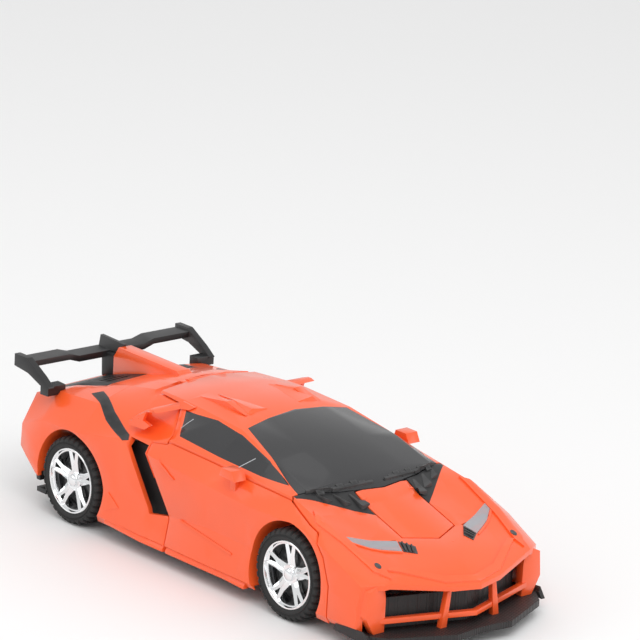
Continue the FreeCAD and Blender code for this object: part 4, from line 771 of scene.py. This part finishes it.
# ---- head
def head_parts():
    """Plain helmet with swept crests over a slotted mask."""
    rings = []
    for z, half, front, back in ((13.2, 6.8, -83.6, -74.8), (17.0, 8.4, -84.2, -74.0), (21.0, 9.2, -84.2, -73.8),
                                 (26.0, 9.0, -84.2, -73.8), (29.5, 7.4, -82.4, -74.2), (31.4, 4.4, -80.4, -75.4)):
        plan = [(0.45, 0), (0.85, 1.6), (1.0, 4.6)]
        right = [(half * share, front + rise) for share, rise in plan] + [(half, back - 2.2), (half * 0.75, back)]
        rings.append([(x, y, z) for x, y in right + [(-x, y) for x, y in reversed(right)]])
    helmet = loft("helmet_dome", rings, "head", "helmet_black", 0.35)
    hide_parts("head_helmet")
    prism("head_tongue", [(-4, 15.5), (4, 15.5), (4, 31.8), (-4, 31.8)], -68.7, -66.9, "xz", "head",
          "black_plastic")
    prism("head_link", [(-3, 15.5), (3, 15.5), (3, 20.5), (-3, 20.5)], -76.4, -68.2, "xz", "head",
          "black_plastic")
    for word, side in SIDES.items():
        cheek = [(4.9, 13.8), (7.8, 15.2), (10.2, 20.6), (9.8, 26.4), (6.0, 27.2), (5.1, 20.0)]
        prism(f"{word}_cheek_guard", on_side(cheek, side), -86.4, -79.0, "xz", "head", "helmet_black", 0.5)
        fin = [(-84.6, 25.4), (-80.0, 30.2), (-73.7, 33.6), (-73.7, 28.2), (-79.0, 24.6)]
        crest = [(-85.6, 27.4), (-82.0, 30.4), (-75.2, 33.4), (-74.2, 28.6), (-80.0, 27.0)]
        for part, outline, reach in (("side_fin", fin, (8.6, 10.2)), ("crest", crest, (3.4, 5.2))):
            low, high = sorted(side * x for x in reach)
            prism(f"{word}_{part}", outline, low, high, "yz", "head", "helmet_black", 0.4)
    prism("middle_crest", [(-86.4, 26.8), (-82.7, 31.1), (-74.9, 34.5), (-73.6, 30.6), (-80.0, 28.0)], -1.1, 1.1,
          "yz", "head", "helmet_black", 0.4)
    prism("forehead", [(-7.6, 27.0), (0, 22.8), (7.6, 27.0), (5.6, 29.6), (-5.6, 29.6)], -86.2, -82.0, "xz",
          "head", "helmet_black", 0.5)
    prism("brow", [(-8.4, 27.8), (0, 23.2), (8.4, 27.8), (7.6, 29.0), (0, 25.0), (-7.6, 29.0)], -86.6, -85.6, "xz",
          "head", "silver_trim", 0.2)
    prism("visor", [(-4.8, 20.4), (4.8, 20.4), (4.6, 23.0), (0, 21.6), (-4.6, 23.0)], -86.0, -85.2, "xz", "head",
          "amber_lens", 0.15)
    for number in range(3):
        z = 16.0 + 1.3 * number
        prism(f"mask_slot_{number}", [(-2.8, z), (2.8, z), (2.8, z + 0.6), (-2.8, z + 0.6)], -85.7, -85.3, "xz",
              "head", "black_plastic", 0.0)


def flap_chevrons():
    """Three chevrons on the face that the flap shows when it stands up."""
    skin = Skin("bonnet_flap")
    for number in range(3):
        y = -65.0 - 5.0 * number
        chevron = [(-11.5, y), (0, y - 5.0), (11.5, y), (11.5, y + 1.6), (0, y - 3.4), (-11.5, y + 1.6)]
        skin.patch(f"flap_chevron_{number}", chevron, "below", 0.5, 1.0, "flap", "orange_body")


# ---- base front
def base_front():
    """Ribbed hoses, studs and the rim under the lamp, which stand for the CAD trim."""
    for number, x in enumerate((-9.0, 9.0)):
        corners = [Vector((x, -9.3, 21.9)), Vector((x - 2.1, -15.0, 21.4)), Vector((x - 6.0, -13.2, 9.0))]
        path = [corners[0].lerp(corners[1], k / 8) for k in range(9)]
        path += [corners[1].lerp(corners[2], k / 16) for k in range(1, 17)]
        radii = [1.75 if k % 2 else 1.35 for k in range(len(path))]
        tube(f"hose_{number}", path, radii, "base", "silver_trim", 16)
    for number, x in enumerate((-25.0, 25.0)):
        rings = []
        for y, half in ((-7.9, 2.4), (-8.5, 2.4), (-10.2, 0.3)):
            rings.append([(x - half, y, 16.4 - half), (x + half, y, 16.4 - half), (x + half, y, 16.4 + half),
                          (x - half, y, 16.4 + half)])
        loft(f"stud_{number}", rings, "base", "silver_trim", 0.2)
    rings = []
    for k in range(13):
        turn = math.radians(200 + 140 * k / 12)
        rings.append([(15.5 + r * math.cos(turn), y, 15.0 + r * math.sin(turn)) for r, y in
                      ((6.1, -7.9), (6.1, -9.6), (6.7, -9.9), (7.4, -9.2), (7.4, -7.9))])
    loft("lamp_rim", rings, "base", "silver_trim")
    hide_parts("front_trim")


# ---- the model
SOFTENED_NODES = (
    "rear_body", "bonnet", "roof_shell", "bonnet_flap", "right_arm_panel", "left_arm_panel", "splitter",
    "rear_wing", "rear_deck", "tail_panel", "windscreen", "side_windows", "cowl", "front_panel", "side_cheeks",
    "torso_frame", "carriage", "roof_bracket", "right_arm_bars", "left_arm_bars", "neck_slide", "chassis",
    "battery_door", "chest_plate", "hip_belt", "shin_armour", "lift_cradle", "gearbox_plates")

add_camera()
add_stage()
paint_nodes()
for node in SOFTENED_NODES:
    piece = restyled(node)
    if node == "splitter":
        piece.data.materials[0] = weave_material("splitter_weave", (0.02, 0.017, 0.017))

for corner in ("right_front", "left_front", "right_rear", "left_rear"):
    tyre(corner)
    rim(corner)
window_details()
wiper_details()
cowl_louvres()
headlamps()
bonnet_creases()
side_skirts()
roof_bumps()
chest_armour()
hip_armour()
shin_bands()
head_parts()
flap_chevrons()
base_front()
